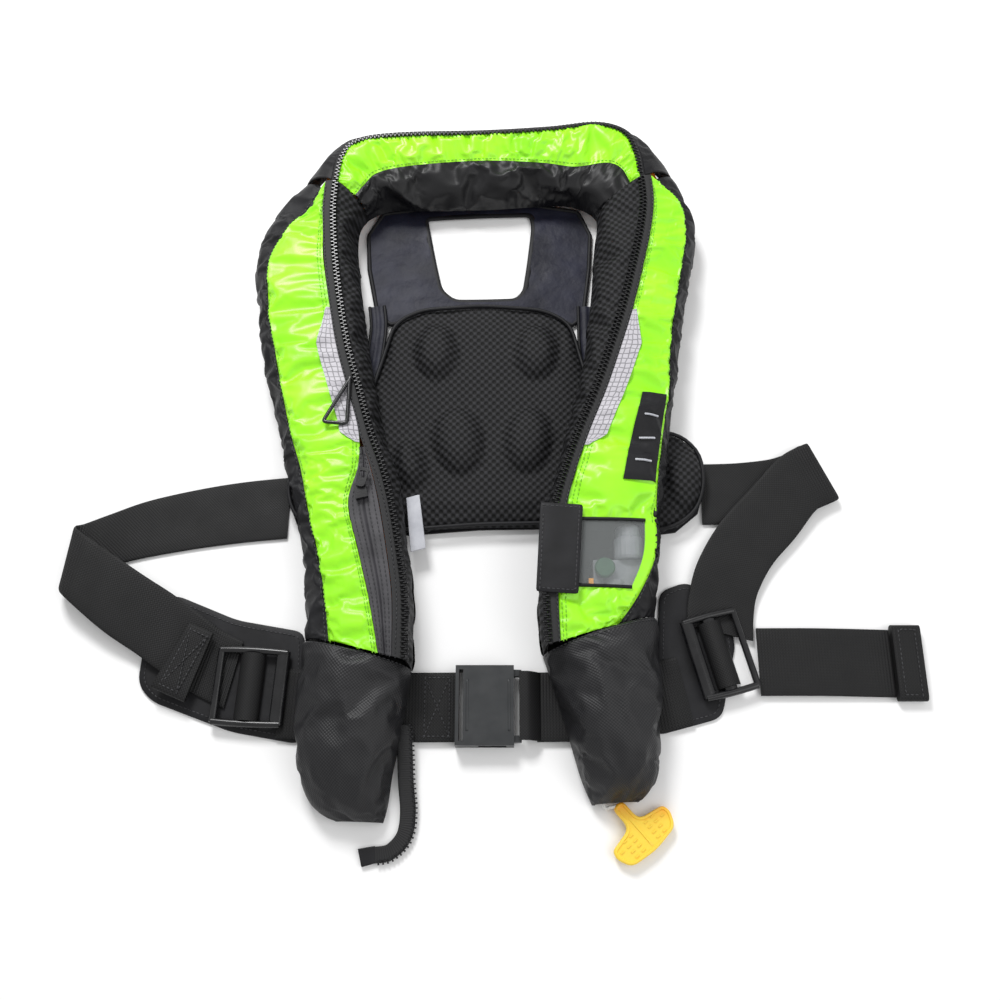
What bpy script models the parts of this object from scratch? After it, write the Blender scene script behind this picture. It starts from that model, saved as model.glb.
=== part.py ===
"""Automatic inflatable life jacket, laid flat and face up as it is stored.

Metres, +Z up. The origin is on the flat underside of the back pad, on the vest's centre line.
+Y runs up the vest to the collar, +X to the wearer's left lobe as seen from above, and the
jacket lies on the plane Z = 0. Fabric pieces are closed solids between two surfaces; the waist
buckle, adjusters, inflator, zips and pull toggle are separate moving pieces.
"""

import math

import bpy
import bmesh
import numpy as np

GAP = 0.0003  # clearance between pieces that touch

# Fabric
CLOTH = 0.0013  # cover fabric
ROLL_SHEET = 0.0020  # side panel or lining where the bladder or the gas bottle passes under it
BIND = 0.0022  # yoke fabric with its binding
LOBE_CREST = 0.044  # height of the burst zip line
SEAM_DROP = 0.009
EDGE_DROP = 0.001
LOBE_SEAM = LOBE_CREST - SEAM_DROP  # height of the seam between front cover and side panel
LIME_EDGE = LOBE_CREST - EDGE_DROP  # height of the front cover beside the zip
INNER_RIM = 0.006  # lining height over what it lies on, at its inner edge
OUTER_RIM = 0.004  # side panel height over what it lies on, at its outer edge
FOLD_DROP = 0.006
COLLAR_FOLD = LOBE_CREST - FOLD_DROP  # height where collar cover meets collar lining

# Back pad
PAD_BASE = 0.002
PAD_TOP = 0.012
POD_RISE = 0.009
PAD_CLEAR = 0.0012  # lobes over the pad
FALL = 0.030  # how far a lobe takes to come down to the floor beside the pad

# Webbing
WEB_WIDTH = 0.050
WEB = 0.0018
SLEEVE = 0.0022
WEB_LEVEL = SLEEVE + GAP + 0.0002  # underside of webbing that crosses a sleeve
BELT_Y = -0.1605

# Waist buckle
BUCKLE_RIM = 0.0035  # moulding beyond each edge of the webbing
BUCKLE_WIDTH = WEB_WIDTH + 2 * BUCKLE_RIM
BUCKLE_LENGTH = 0.042
BUCKLE_HEIGHT = 0.0135
BUCKLE_WALL = 0.0020
BUCKLE_X = 0.0045  # middle of the female half
MALE_LENGTH = 0.016
PRONG_WIDTH = 0.005
PRONG_REACH = 0.029
CATCH_RISE = 0.0016
WINDOW_LENGTH = 0.020

# Adjusters
LADDER_THICK = 0.0048
LADDER_RAIL = 0.0042
LEFT_LADDER = (0.054, WEB_WIDTH + 2 * LADDER_RAIL)
RIGHT_LADDER = (0.044, WEB_WIDTH + 3.2 * LADDER_RAIL)
LEFT_LADDER_AT = (-0.1655, -0.1465)
RIGHT_LADDER_AT = (0.1765, -0.1225)
STRAP_LAP = 0.0085  # how far the right strap runs in past its edge at the adjuster
STRAP_FOOT_X = 0.180  # the tail starts half a width to the right of this
LEFT_LADDER_TURN = -3.0
RIGHT_LADDER_TURN = 14.5

# Inflator
INFLATOR_FLOOR = 0.0160  # underside of the inflator head
HEAD_HEIGHT = 0.0150
INFLATOR_ROOF = INFLATOR_FLOOR + HEAD_HEIGHT
BOTTLE_RADIUS = 0.0115
BOTTLE_Z = 0.0205
BOTTLE_LENGTH = 0.100
COLLET = 0.0010  # how much the head's threaded collar is wider than the bottle
BOTTLE_X = 0.098
CAP_RADIUS = 0.0110
CAP_LENGTH = 0.026
CAP_X = 0.1105
INFLATOR_TOP_Y = -0.058
INFLATOR_FOOT_Y = -0.082
LEVER_LENGTH = 0.021
KNOB_RADIUS = 0.0075
KNOB_TRAVEL = 0.0015
KNOB_AT = (0.0915, -0.0653)
CORD_RADIUS = 0.0012
CORD_X = 0.0875
CORD_Z = 0.0085

# Pull toggle
TOGGLE_THICK = 0.0055
TOGGLE_AT = (0.0985, -0.2300)
TOGGLE_TURN = -49.0
TOGGLE_BAR = 0.050
TOGGLE_LENGTH = 0.038

# Oral inflation
ORAL_RADIUS = 0.0055
ORAL_X = -0.0970
ORAL_Z = 0.0290
ORAL_TOP_Y = -0.020
ORAL_FOOT_Y = -0.088

# Inspection zip
ZIP_RISE = 0.001  # zips lie this much above the lobe's fabric
ZIP_LEVEL = LOBE_CREST + ZIP_RISE  # top of the covered coil zip
FLAP_RISE = 0.0028
LOOP_RISE = 0.0019
FLAP_LEVEL = LOBE_CREST + FLAP_RISE  # underside of the closing flap
LOOP_LEVEL = LOBE_CREST + LOOP_RISE  # underside of the triangular loop
SLIDER_FROM = (-0.0865, -0.010)
SLIDER_TOWARDS = (-0.0605, -0.120)


# ---------------------------------------------------------------- curves


def mm(points):
    """Millimetre pairs or triples as an array in metres."""
    return np.array(points, dtype=float) * 0.001


def catmull(points, place):
    """Point on a smooth curve through the points, place running from 0 to 1."""
    points = np.asarray(points, dtype=float)
    spans = len(points) - 1
    position = min(max(place, 0.0), 1.0) * spans
    first = min(int(position), spans - 1)
    step = position - first
    before = points[max(first - 1, 0)]
    start = points[first]
    end = points[first + 1]
    after = points[min(first + 2, spans)]
    leave = (end - before) / 2
    arrive = (after - start) / 2
    square = step * step
    cube = square * step
    return (
        (2 * cube - 3 * square + 1) * start
        + (cube - 2 * square + step) * leave
        + (3 * square - 2 * cube) * end
        + (cube - square) * arrive
    )


def fillet(points, radius, steps=3):
    """The outline with each corner rounded by a curve of about the given radius."""
    points = np.asarray(points, dtype=float)
    rounded = []
    for index, corner in enumerate(points):
        before = points[index - 1]
        after = points[(index + 1) % len(points)]
        back = before - corner
        ahead = after - corner
        reach = min(radius, np.linalg.norm(back) * 0.45, np.linalg.norm(ahead) * 0.45)
        first = corner + back / np.linalg.norm(back) * reach
        last = corner + ahead / np.linalg.norm(ahead) * reach
        for step in range(steps + 1):
            t = step / steps
            rounded.append((1 - t) ** 2 * first + 2 * t * (1 - t) * corner + t * t * last)
    return np.array(rounded)


def polar_loop(points, centre, count, grow=0.0):
    """The outline read at equal angles about a centre, grown outward."""
    points = np.asarray(points, dtype=float)
    loop = []
    for index in range(count):
        angle = 2 * math.pi * index / count
        ray = np.array([math.cos(angle), math.sin(angle)])
        best = 0.0
        for first, second in zip(points, np.roll(points, -1, axis=0)):
            side = second - first
            matrix = np.array([ray, -side]).T
            if abs(np.linalg.det(matrix)) < 1e-12:
                continue
            reach, along = np.linalg.solve(matrix, first - centre)
            if 0 <= along <= 1 and reach > best:
                best = reach
        loop.append(np.asarray(centre) + ray * (best + grow))
    return np.array(loop)


# ---------------------------------------------------------------- what lies on what

PAD_BOX = (-0.160, 0.184, -0.037, 0.178)
YOKE_BOX = (-0.104, 0.104, 0.140, 0.272)
BELT_BOX = (-0.260, 0.260, -0.206, -0.112)


def outside(x, y, box):
    """Distance from a point to a box of plan, zero inside it."""
    dx = max(box[0] - x, 0.0, x - box[1])
    dy = max(box[2] - y, 0.0, y - box[3])
    return math.hypot(dx, dy)


def lying_on(x, y):
    """Height of what the vest's fabric lies on: the floor, the pad, the yoke or the belt."""
    layers = (
        (PAD_BOX, PAD_TOP + PAD_CLEAR),
        (YOKE_BOX, BIND + 3 * GAP + 0.0015),
        (BELT_BOX, WEB_LEVEL + WEB + 2 * GAP),
    )
    height = 2 * GAP
    for box, level in layers:
        share = max(0.0, 1.0 - outside(x, y, box) / FALL)
        height = max(height, level * share * share * (3 - 2 * share))
    return height


# ---------------------------------------------------------------- the horseshoe's plan


def level_row(y, *across):
    """A station straight across a lobe: outer edge, seam, cover edge, zip, inner edge."""
    return [(x, y) for x in across]


LEFT_STATIONS = mm(
    [
        [(-126, -115), (-106, -119), (-70, -129), (-51, -134), (-48.5, -135)],
        level_row(-90, -127, -110, -78, -52, -49),
        level_row(-55, -131, -117, -87, -57, -53),
        level_row(-18, -138, -127, -96, -64, -57),
        level_row(12, -146, -134, -90, -72, -63),
        level_row(40, -153, -143, -91, -82, -72),
        level_row(75, -163, -152, -101, -92, -80),
        level_row(110, -172, -160, -111, -102, -87),
        level_row(150, -180, -168, -119, -110, -94),
        level_row(190, -184, -170, -126, -116, -100),
        [(-180, 226), (-157, 222), (-128, 221), (-119, 220), (-103, 218)],
        [(-168, 252), (-142, 240), (-129, 241), (-120, 242), (-102, 236)],
        [(-150, 276), (-131, 262), (-128, 263), (-119, 264), (-96, 247)],
    ]
)

RIGHT_STATIONS = mm(
    [
        [(129, -97), (100, -107), (58, -120.5), (49.5, -123), (47, -124)],
        level_row(-84, 130, 116, 57, 48, 45),
        level_row(-55, 133, 129, 59, 50, 46),
        level_row(-22, 136, 131, 64, 55, 49),
        level_row(8, 141, 134, 72, 63, 57),
        level_row(40, 146, 139, 83, 74, 65),
        level_row(75, 151, 145, 97, 88, 74),
        level_row(110, 157, 148, 109, 100, 82),
        level_row(145, 163, 153, 120, 111, 87),
        level_row(180, 169, 160, 129, 120, 91),
        level_row(215, 175, 166, 137, 128, 94),
        [(175, 245), (163, 246), (141, 244), (132, 243), (97, 237)],
        [(163, 284), (143, 270), (140, 269), (131, 268), (97, 247)],
    ]
)

COLLAR_STATIONS = mm(
    [
        [(-150, 276), (-119, 264), (-104, 254), (-96, 247)],
        [(-134, 297), (-115, 287), (-97, 264), (-87, 253)],
        [(-112, 314), (-103, 302), (-86, 276), (-74, 257)],
        [(-68, 319), (-68, 308), (-58, 283), (-52, 257)],
        [(0, 321), (0, 310), (0, 288), (0, 258)],
        [(58, 324), (56, 314), (49, 286), (43, 261)],
        [(100, 328), (96, 319), (78, 282), (66, 262)],
        [(130, 321), (119, 311), (104, 286), (82, 259)],
        [(149, 303), (128, 291), (117, 280), (92, 253)],
        [(163, 284), (131, 268), (124, 264), (97, 247)],
    ]
)


def station(stations, along, column):
    """Plan point on one column of a band; a whole column number is one of its named lines."""
    left = min(int(column), stations.shape[1] - 2)
    share = column - left
    start = catmull(stations[:, left], along)
    end = catmull(stations[:, left + 1], along)
    return start + (end - start) * share


def place_at_y(stations, column, y):
    """How far along a lobe one of its lines passes the given Y."""
    places = np.linspace(0.0, 1.0, 241)
    heights = [catmull(stations[:, column], place)[1] for place in places]
    return float(np.interp(y, heights, places))


def quarter(start, end, share):
    """A convex quarter turn from start to end."""
    return start + (end - start) * math.sqrt(max(0.0, 1 - (1 - share) ** 2))


def lobe_height(point, column):
    """Top of a lobe's fabric at a column between 0, the outer edge, and 4, the inner edge."""
    floor = lying_on(*point)
    if column <= 1:
        return quarter(floor + OUTER_RIM, LOBE_SEAM, column)
    if column <= 2:
        return quarter(LOBE_SEAM, LIME_EDGE, column - 1)
    if column <= 3:
        return LIME_EDGE + (LOBE_CREST - LIME_EDGE) * (column - 2)
    return quarter(floor + INNER_RIM, LOBE_CREST, 4 - column)


def collar_height(point, column):
    """Top of the collar at a column between 0, its back edge, and 3, its neck edge."""
    floor = lying_on(*point)
    if column <= 1:
        return quarter(floor + OUTER_RIM, LOBE_CREST, column)
    if column <= 2:
        return LOBE_CREST + (COLLAR_FOLD - LOBE_CREST) * (column - 1) ** 1.5
    return quarter(floor + INNER_RIM, COLLAR_FOLD, 3 - column)


# ---------------------------------------------------------------- mesh makers


def clear_scene():
    for old in list(bpy.data.objects):
        bpy.data.objects.remove(old, do_unlink=True)


def material(name, colour, roughness=0.8, metallic=0.0, alpha=1.0):
    """A plain Principled material, one for each kind of finish."""
    found = bpy.data.materials.get(name)
    if found:
        return found
    made = bpy.data.materials.new(name)
    made.use_nodes = True
    shader = made.node_tree.nodes["Principled BSDF"]
    shader.inputs["Base Color"].default_value = (*colour, 1.0)
    shader.inputs["Roughness"].default_value = roughness
    shader.inputs["Metallic"].default_value = metallic
    shader.inputs["Alpha"].default_value = alpha
    made.diffuse_color = (*colour, 1.0)
    return made


def lime():
    return material("lime_cover_fabric", (0.40, 0.95, 0.03), 0.45)


def shell_black():
    return material("black_shell_fabric", (0.012, 0.012, 0.015), 0.6)


def mesh_black():
    return material("black_air_mesh", (0.02, 0.02, 0.022), 0.9)


def navy():
    return material("navy_lining_fabric", (0.045, 0.05, 0.09), 0.5)


def webbing():
    return material("black_webbing", (0.018, 0.018, 0.02), 0.75)


def ballistic():
    return material("black_pocket_fabric", (0.016, 0.017, 0.02), 0.6)


def zip_black():
    return material("black_zip", (0.02, 0.02, 0.022), 0.5)


def silver():
    return material("silver_reflective_tape", (0.62, 0.60, 0.64), 0.35)


def clear_film():
    return material("clear_window_film", (0.85, 0.9, 0.9), 0.08, alpha=0.25)


def buckle_plastic():
    return material("dark_grey_plastic", (0.045, 0.048, 0.052), 0.45)


def inflator_grey():
    return material("grey_inflator_plastic", (0.26, 0.28, 0.30), 0.4)


def yellow_plastic():
    return material("yellow_toggle_plastic", (1.0, 0.72, 0.05), 0.4)


def steel():
    return material("painted_bottle_steel", (0.16, 0.18, 0.2), 0.35, 0.6)


def bladder_film():
    return material("coated_bladder_fabric", (0.85, 0.25, 0.02), 0.5)


def white_cord():
    return material("white_cord", (0.8, 0.8, 0.78), 0.8)


def label_cloth():
    return material("grey_label_cloth", (0.55, 0.56, 0.6), 0.8)


def green_plastic():
    return material("green_indicator_plastic", (0.02, 0.35, 0.08), 0.4)


def make(name, points, faces, finish):
    """A mesh object from points and faces, with its faces turned outward."""
    mesh = bpy.data.meshes.new(name)
    mesh.from_pydata([tuple(map(float, point)) for point in points], [], faces)
    shape = bmesh.new()
    shape.from_mesh(mesh)
    bmesh.ops.recalc_face_normals(shape, faces=shape.faces)
    shape.to_mesh(mesh)
    shape.free()
    made = bpy.data.objects.new(name, mesh)
    made.data.materials.append(finish)
    bpy.context.scene.collection.objects.link(made)
    return made


def grid_solid(name, tops, bottoms, finish):
    """A closed solid between two grids of points of the same size."""
    rows, columns = len(tops), len(tops[0])
    points = [point for row in tops for point in row]
    points += [point for row in bottoms for point in row]
    under = rows * columns
    faces = []
    for row in range(rows - 1):
        for column in range(columns - 1):
            corner = row * columns + column
            quad = (corner, corner + 1, corner + columns + 1, corner + columns)
            faces.append(quad)
            faces.append(tuple(under + index for index in reversed(quad)))
    rim = [column for column in range(columns)]
    rim += [row * columns + columns - 1 for row in range(1, rows)]
    rim += [(rows - 1) * columns + column for column in range(columns - 2, -1, -1)]
    rim += [row * columns for row in range(rows - 2, 0, -1)]
    for first, second in zip(rim, rim[1:] + rim[:1]):
        faces.append((second, first, under + first, under + second))
    return make(name, points, faces, finish)


def drawn_in(rows, gap):
    """The plan grid with its four sides moved in by a gap."""
    rows = np.array(rows, dtype=float)

    def shift(edge, inner):
        step = inner - edge
        return edge + step / np.linalg.norm(step, axis=1, keepdims=True) * gap

    first, last = shift(rows[0], rows[1]), shift(rows[-1], rows[-2])
    rows[0], rows[-1] = first, last
    left, right = shift(rows[:, 0], rows[:, 1]), shift(rows[:, -1], rows[:, -2])
    rows[:, 0], rows[:, -1] = left, right
    return rows


def inner_face(row, high, sheet):
    """Inner face of a sheet that rises along its row, moved inward where the sheet is steep.
    Its last point stays straight below, beside the neighbour that it meets."""
    inward = (row[-1] - row[0]) / np.linalg.norm(row[-1] - row[0])
    points = []
    for index in range(len(row) - 1):
        rise = high[index + 1] - high[index]
        run = np.linalg.norm(row[index + 1] - row[index])
        slope = math.hypot(rise, run)
        place = row[index] + inward * sheet * rise / slope
        points.append((*place, high[index] - sheet * run / slope))
    points.append((*row[-1], high[-1] - sheet))
    return points


def band(name, stations, height, places, columns, finish, thick=None, open_at=None, upright=None):
    """A fabric piece between two lines of a band. It is a sheet where thick is given or
    where open_at says so, and elsewhere it fills down to what it lies on. Where upright says
    so, the sheet stands like a wall."""
    plan = [[station(stations, place, column) for column in columns] for place in places]
    moved = drawn_in(plan, GAP)
    tops, bottoms = [], []
    for row, place in zip(moved, places):
        high = [height(point, column) for point, column in zip(row, columns)]
        tops.append([(*point, z) for point, z in zip(row, high)])
        if upright and upright(place):
            bottoms.append(inner_face(row, high, ROLL_SHEET))
            continue
        if thick or (open_at and open_at(place)):
            low = [top - (thick or ROLL_SHEET) for top in high]
        else:
            low = [lying_on(*point) for point in row]
        bottoms.append([(*point, z) for point, z in zip(row, low)])
    return grid_solid(name, tops, bottoms, finish)


def rounding(count, start, end, tight_start=False):
    """Columns closer together towards the steep side of a quarter turn."""
    angles = np.linspace(0, math.pi / 2, count + 1)
    shares = 1 - np.cos(angles) if tight_start else np.sin(angles)
    return [start + (end - start) * share for share in shares]


def ring_plate(name, outer, inner, low, high, finish):
    """A flat plate between two matched closed outlines."""
    count = len(outer)
    points = []
    for z in (low, high):
        points += [(*point, z) for point in outer]
        points += [(*point, z) for point in inner]
    faces = []
    for index in range(count):
        after = (index + 1) % count
        faces.append((index, after, count + after, count + index))
        upper = 2 * count
        faces.append((upper + index, upper + count + index, upper + count + after, upper + after))
        faces.append((index, upper + index, upper + after, after))
        inside, inside_after = count + index, count + after
        faces.append((inside, inside_after, upper + inside_after, upper + inside))
    return make(name, points, faces, finish)


def plate(name, outline, low, high, finish):
    """A flat plate of any outline."""
    count = len(outline)
    points = [(*point, low) for point in outline] + [(*point, high) for point in outline]
    faces = [tuple(range(count)), tuple(range(2 * count - 1, count - 1, -1))]
    for index in range(count):
        after = (index + 1) % count
        faces.append((index, after, count + after, count + index))
    return make(name, points, faces, finish)


def block(name, low, high, finish):
    """A box between two corners."""
    outline = [(low[0], low[1]), (high[0], low[1]), (high[0], high[1]), (low[0], high[1])]
    return plate(name, outline, low[2], high[2], finish)


def rod(name, profile, axis, centre, finish, sides=16):
    """A turned piece: profile pairs are distance along the axis and radius."""
    forward = {"x": (1, 0, 0), "y": (0, 1, 0), "z": (0, 0, 1)}[axis]
    side = {"x": (0, 1, 0), "y": (0, 0, 1), "z": (1, 0, 0)}[axis]
    up = np.cross(forward, side)
    points, faces = [], []
    for along, radius in profile:
        for index in range(sides):
            angle = 2 * math.pi * index / sides
            spoke = math.cos(angle) * np.array(side) + math.sin(angle) * up
            points.append(np.array(centre) + np.array(forward) * along + spoke * radius)
    for ring in range(len(profile) - 1):
        for index in range(sides):
            after = (index + 1) % sides
            first = ring * sides
            second = first + sides
            faces.append((first + index, first + after, second + after, second + index))
    faces.append(tuple(range(sides)))
    last = (len(profile) - 1) * sides
    faces.append(tuple(last + index for index in range(sides)))
    return make(name, points, faces, finish)


def ribbon(name, rows, samples, finish, width=WEB_WIDTH, thick=WEB):
    """Flat webbing along a route. A row is x, y, z of the middle of its underside, then the
    plan angle of its width in degrees, in millimetres and degrees."""
    rows = np.array(rows, dtype=float)
    route = [catmull(rows, place) for place in np.linspace(0, 1, samples + 1)]
    middles = np.array([row[:3] for row in route]) * 0.001
    points = []
    for index, row in enumerate(route):
        before = middles[max(index - 1, 0)]
        after = middles[min(index + 1, samples)]
        ahead = (after - before) / np.linalg.norm(after - before)
        angle = math.radians(row[3])
        across = np.array([math.cos(angle), math.sin(angle), 0.0])
        up = np.cross(ahead, across)
        up /= np.linalg.norm(up)
        across *= width / 2
        # The underside stays under the same face of the webbing all the way through a fold.
        points += [
            middles[index] - across,
            middles[index] + across,
            middles[index] + across + up * thick,
            middles[index] - across + up * thick,
        ]
    faces = []
    for index in range(samples):
        first = 4 * index
        for side in range(4):
            after = (side + 1) % 4
            faces.append((first + side, first + after, first + 4 + after, first + 4 + side))
    last = 4 * samples
    faces += [(0, 1, 2, 3), (last, last + 1, last + 2, last + 3)]
    return make(name, points, faces, finish)


def as_tool(shape):
    """Turns an object into a hidden cutter or adder."""
    shape.hide_render = True
    shape.display_type = "WIRE"
    return shape


def combine(target, tool, operation):
    """Keeps a Boolean on the target, with the tool hidden."""
    step = target.modifiers.new(operation.lower(), "BOOLEAN")
    step.operation = operation
    step.solver = "EXACT"
    step.object = as_tool(tool)
    return target


def pivot(target, point):
    """Moves the object's origin to a point on its joint's axis."""
    for vertex in target.data.vertices:
        for axis in range(3):
            vertex.co[axis] -= point[axis]
    target.location = point
    return target


def smooth_shade(target, angle=40):
    target.data.shade_smooth()
    target.data.set_sharp_from_angle(angle=math.radians(angle))
    return target


# ---------------------------------------------------------------- back pad and yoke

PAD_TOP_EDGE = mm([(74, 150), (52, 163), (0, 167), (-50, 163), (-72, 150)])
PAD_REST = mm(
    [
        (-78, 125),
        (-90, 82),
        (-118, 54),
        (-144, 34),
        (-150, 2),
        (-140, -22),
        (-108, -31),
        (-50, -29),
        (0, -25),
        (60, -24),
        (120, -31),
        (150, -27),
        (168, -12),
        (175, 12),
        (172, 36),
        (158, 51),
        (135, 56),
        (108, 60),
        (90, 84),
        (80, 125),
    ]
)
NECK_CENTRE = (0.0, 0.215)
NECK_OPENING = mm([(-47, 254), (41, 258), (43, 246), (35, 185), (28, 177), (-22, 176), (-33, 186)])
YOKE_SIDES = mm(
    [
        (-85, 160),
        (-94, 205),
        (-96, 238),
        (-84, 260),
        (-40, 266),
        (0, 267),
        (45, 268),
        (82, 262),
        (92, 238),
        (90, 205),
        (84, 160),
    ]
)
PODS = (
    (-36, 122, 16, 24, 0),
    (44, 122, 16, 24, 0),
    (-17, 44, 18, 27, 8),
    (37, 45, 17, 26, -6),
    (-54, 24, 11, 20, 12),
    (159, 12, 13, 25, -8),
)
BINDING_WIDTH = 0.005
YOKE_STEP = 0.0015  # the yoke starts this far above the pad edge it is sewn to


def back_pad_base():
    outline = np.concatenate([PAD_TOP_EDGE, PAD_REST])
    return plate("back_pad_base", outline, 0.0, PAD_BASE, shell_black())


def back_pad_mesh():
    """The spacer-mesh pad: one moulded piece with raised pods for the back."""
    outline = np.concatenate([PAD_TOP_EDGE, PAD_REST])
    pad = plate("back_pad_mesh", outline, PAD_BASE + GAP, PAD_TOP, mesh_black())
    for index, (x, y, wide, tall, turn) in enumerate(PODS):
        bpy.ops.mesh.primitive_uv_sphere_add(segments=14, ring_count=8, radius=1.0)
        pod = bpy.context.object
        pod.name = f"pod_form_{index}"
        pod.scale = (wide * 0.001, tall * 0.001, POD_RISE)
        pod.rotation_euler.z = math.radians(turn)
        pod.location = (x * 0.001, y * 0.001, PAD_TOP)
        combine(pad, pod, "UNION")
    return pad


def back_yoke():
    lower = PAD_TOP_EDGE + np.array([0.0, YOKE_STEP])
    outline = np.concatenate([lower, YOKE_SIDES])
    outer = polar_loop(outline, NECK_CENTRE, 40)
    inner = polar_loop(NECK_OPENING, NECK_CENTRE, 40, BINDING_WIDTH + GAP)
    return ring_plate("back_yoke", outer, inner, GAP, GAP + BIND, navy())


def neck_binding():
    outer = polar_loop(NECK_OPENING, NECK_CENTRE, 40, BINDING_WIDTH)
    inner = polar_loop(NECK_OPENING, NECK_CENTRE, 40)
    return ring_plate("neck_binding", outer, inner, 0.0, GAP * 2 + BIND, shell_black())


# ---------------------------------------------------------------- lobes

COVER_COLUMNS = [1.0, 1.3, 1.65, 2.0]
WINDOW_TOP_Y = -0.030
WINDOW_FOOT_Y = -0.080
INSPECTION_TOP = 0.026  # where the inspection zip's panel starts
TAPE = 0.009  # width of the burst zip's tape
COLLAR_TAPE = 0.005  # what shows of it on the collar's rim


def lobe_places(stations, foot_y=None, top_y=None, count=12):
    """Places along a lobe from a lower to an upper Y, read on its zip line."""
    first = 0.0 if foot_y is None else place_at_y(stations, 3, foot_y)
    last = 1.0 if top_y is None else place_at_y(stations, 3, top_y)
    return np.linspace(first, last, count + 1)


TURN_START = 0.78  # past this place the bladder turns from a lobe into the collar
BOTTLE_END = 0.30  # below this place on the right lobe the gas bottle lies under its edge


def turning(place):
    return place > TURN_START


def beside_bottle(place):
    return place < BOTTLE_END


def standing(place):
    """Where the right side panel is a steep sheet: beside the bottle and around the turn."""
    return beside_bottle(place) or turning(place)


def left_places():
    """Stations shared by every piece of the left lobe, so that neighbours meet edge to edge."""
    split = place_at_y(LEFT_STATIONS, 3, INSPECTION_TOP)
    return np.concatenate([np.linspace(0, split, 9), np.linspace(split, 1, 11)[1:]])


def right_places():
    """Stations shared by every piece of the right lobe."""
    foot = place_at_y(RIGHT_STATIONS, 3, WINDOW_FOOT_Y)
    top = place_at_y(RIGHT_STATIONS, 3, WINDOW_TOP_Y)
    spans = (np.linspace(0, foot, 4), np.linspace(foot, top, 5)[1:], np.linspace(top, 1, 13)[1:])
    return np.concatenate(spans)


def shared(places, foot_y=None, top_y=None, stations=RIGHT_STATIONS):
    """The shared stations between two Y values."""
    low = 0.0 if foot_y is None else place_at_y(stations, 3, foot_y)
    high = 1.0 if top_y is None else place_at_y(stations, 3, top_y)
    return [place for place in places if low - 1e-6 <= place <= high + 1e-6]


def side_panels():
    roll = rounding(3, 0.0, 1.0, tight_start=True)
    lobes = (
        ("left", LEFT_STATIONS, None, left_places()),
        ("right", RIGHT_STATIONS, standing, right_places()),
    )
    for side, stations, upright, places in lobes:
        shape = (stations, lobe_height, places, roll, shell_black())
        smooth_shade(band(f"{side}_side_panel", *shape, open_at=turning, upright=upright))


def front_covers():
    """Fluorescent outer covers. The right one is split by the inflator's window."""
    parts = (
        ("left_front_cover", LEFT_STATIONS, left_places()),
        ("right_front_cover", RIGHT_STATIONS, shared(right_places(), WINDOW_TOP_Y)),
        ("right_lower_cover", RIGHT_STATIONS, shared(right_places(), None, WINDOW_FOOT_Y)),
    )
    for name, stations, places in parts:
        smooth_shade(
            band(name, stations, lobe_height, places, COVER_COLUMNS, lime(), thick=CLOTH)
        )


def window_panel():
    places = shared(right_places(), WINDOW_FOOT_Y, WINDOW_TOP_Y)
    return smooth_shade(
        band(
            "window_panel",
            RIGHT_STATIONS,
            lobe_height,
            places,
            COVER_COLUMNS,
            clear_film(),
            thick=0.0008,
        )
    )


def zip_column(stations, place):
    """Column of the outer edge of the burst zip's tape at a place along a lobe."""
    cover = catmull(stations[:, 2], place)
    crest = catmull(stations[:, 3], place)
    reach = np.linalg.norm(crest - cover)
    return 3.0 - min(TAPE / reach, 1.0)


def tape_grid(stations, places, start, end, count):
    """Plan rows between two column functions."""
    rows = []
    for place in places:
        first, last = start(place), end(place)
        columns = np.linspace(first, last, count + 1)
        rows.append([station(stations, place, column) for column in columns])
    return drawn_in(rows, GAP)


def flat_strip(name, rows, top, thick, finish):
    """A thin piece of constant level, such as a zip tape."""
    tops = [[(*point, top) for point in row] for row in rows]
    bottoms = [[(*point, top - thick) for point in row] for row in rows]
    return grid_solid(name, tops, bottoms, finish)


def burst_zips():
    """The long zip that bursts open when the bladder fills, in three stretches."""
    lobes = (("left", LEFT_STATIONS, left_places()), ("right", RIGHT_STATIONS, right_places()))
    for side, stations, places in lobes:
        rows = tape_grid(
            stations, places, lambda place: zip_column(stations, place), lambda place: 3.0, 1
        )
        flat_strip(f"{side}_burst_zip", rows, ZIP_LEVEL, 0.0024, zip_black())
    places = np.linspace(0.0, 1.0, 17)
    rows = []
    for place in places:
        crest = catmull(COLLAR_STATIONS[:, 1], place)
        back = catmull(COLLAR_STATIONS[:, 0], place)
        step = (back - crest) / np.linalg.norm(back - crest)
        rows.append([crest + step * COLLAR_TAPE, crest])
    rows = drawn_in(rows, GAP)
    flat_strip("collar_burst_zip", rows, ZIP_LEVEL, 0.0024, zip_black())


def inspection_zip_panel():
    """Grey taped panel with a covered zip that opens for checking the oral tube."""
    places = shared(left_places(), None, INSPECTION_TOP, LEFT_STATIONS)
    rows = tape_grid(
        LEFT_STATIONS,
        places,
        lambda place: 2.0,
        lambda place: zip_column(LEFT_STATIONS, place),
        2,
    )
    return flat_strip("inspection_zip_panel", rows, ZIP_LEVEL, 0.0024, zip_black())


def mesh_linings():
    roll = rounding(3, 3.0, 4.0)
    lobes = (("left", LEFT_STATIONS, left_places()), ("right", RIGHT_STATIONS, right_places()))
    for side, stations, places in lobes:
        name = f"{side}_mesh_lining"
        smooth_shade(
            band(name, stations, lobe_height, places, roll, mesh_black(), open_at=turning)
        )


def back_columns(place, shares):
    """Columns of the collar's back, ending at the outer edge of the zip's tape."""
    crest = catmull(COLLAR_STATIONS[:, 1], place)
    back = catmull(COLLAR_STATIONS[:, 0], place)
    last = 1 - COLLAR_TAPE / np.linalg.norm(back - crest)
    return [share * last for share in shares]


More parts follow.
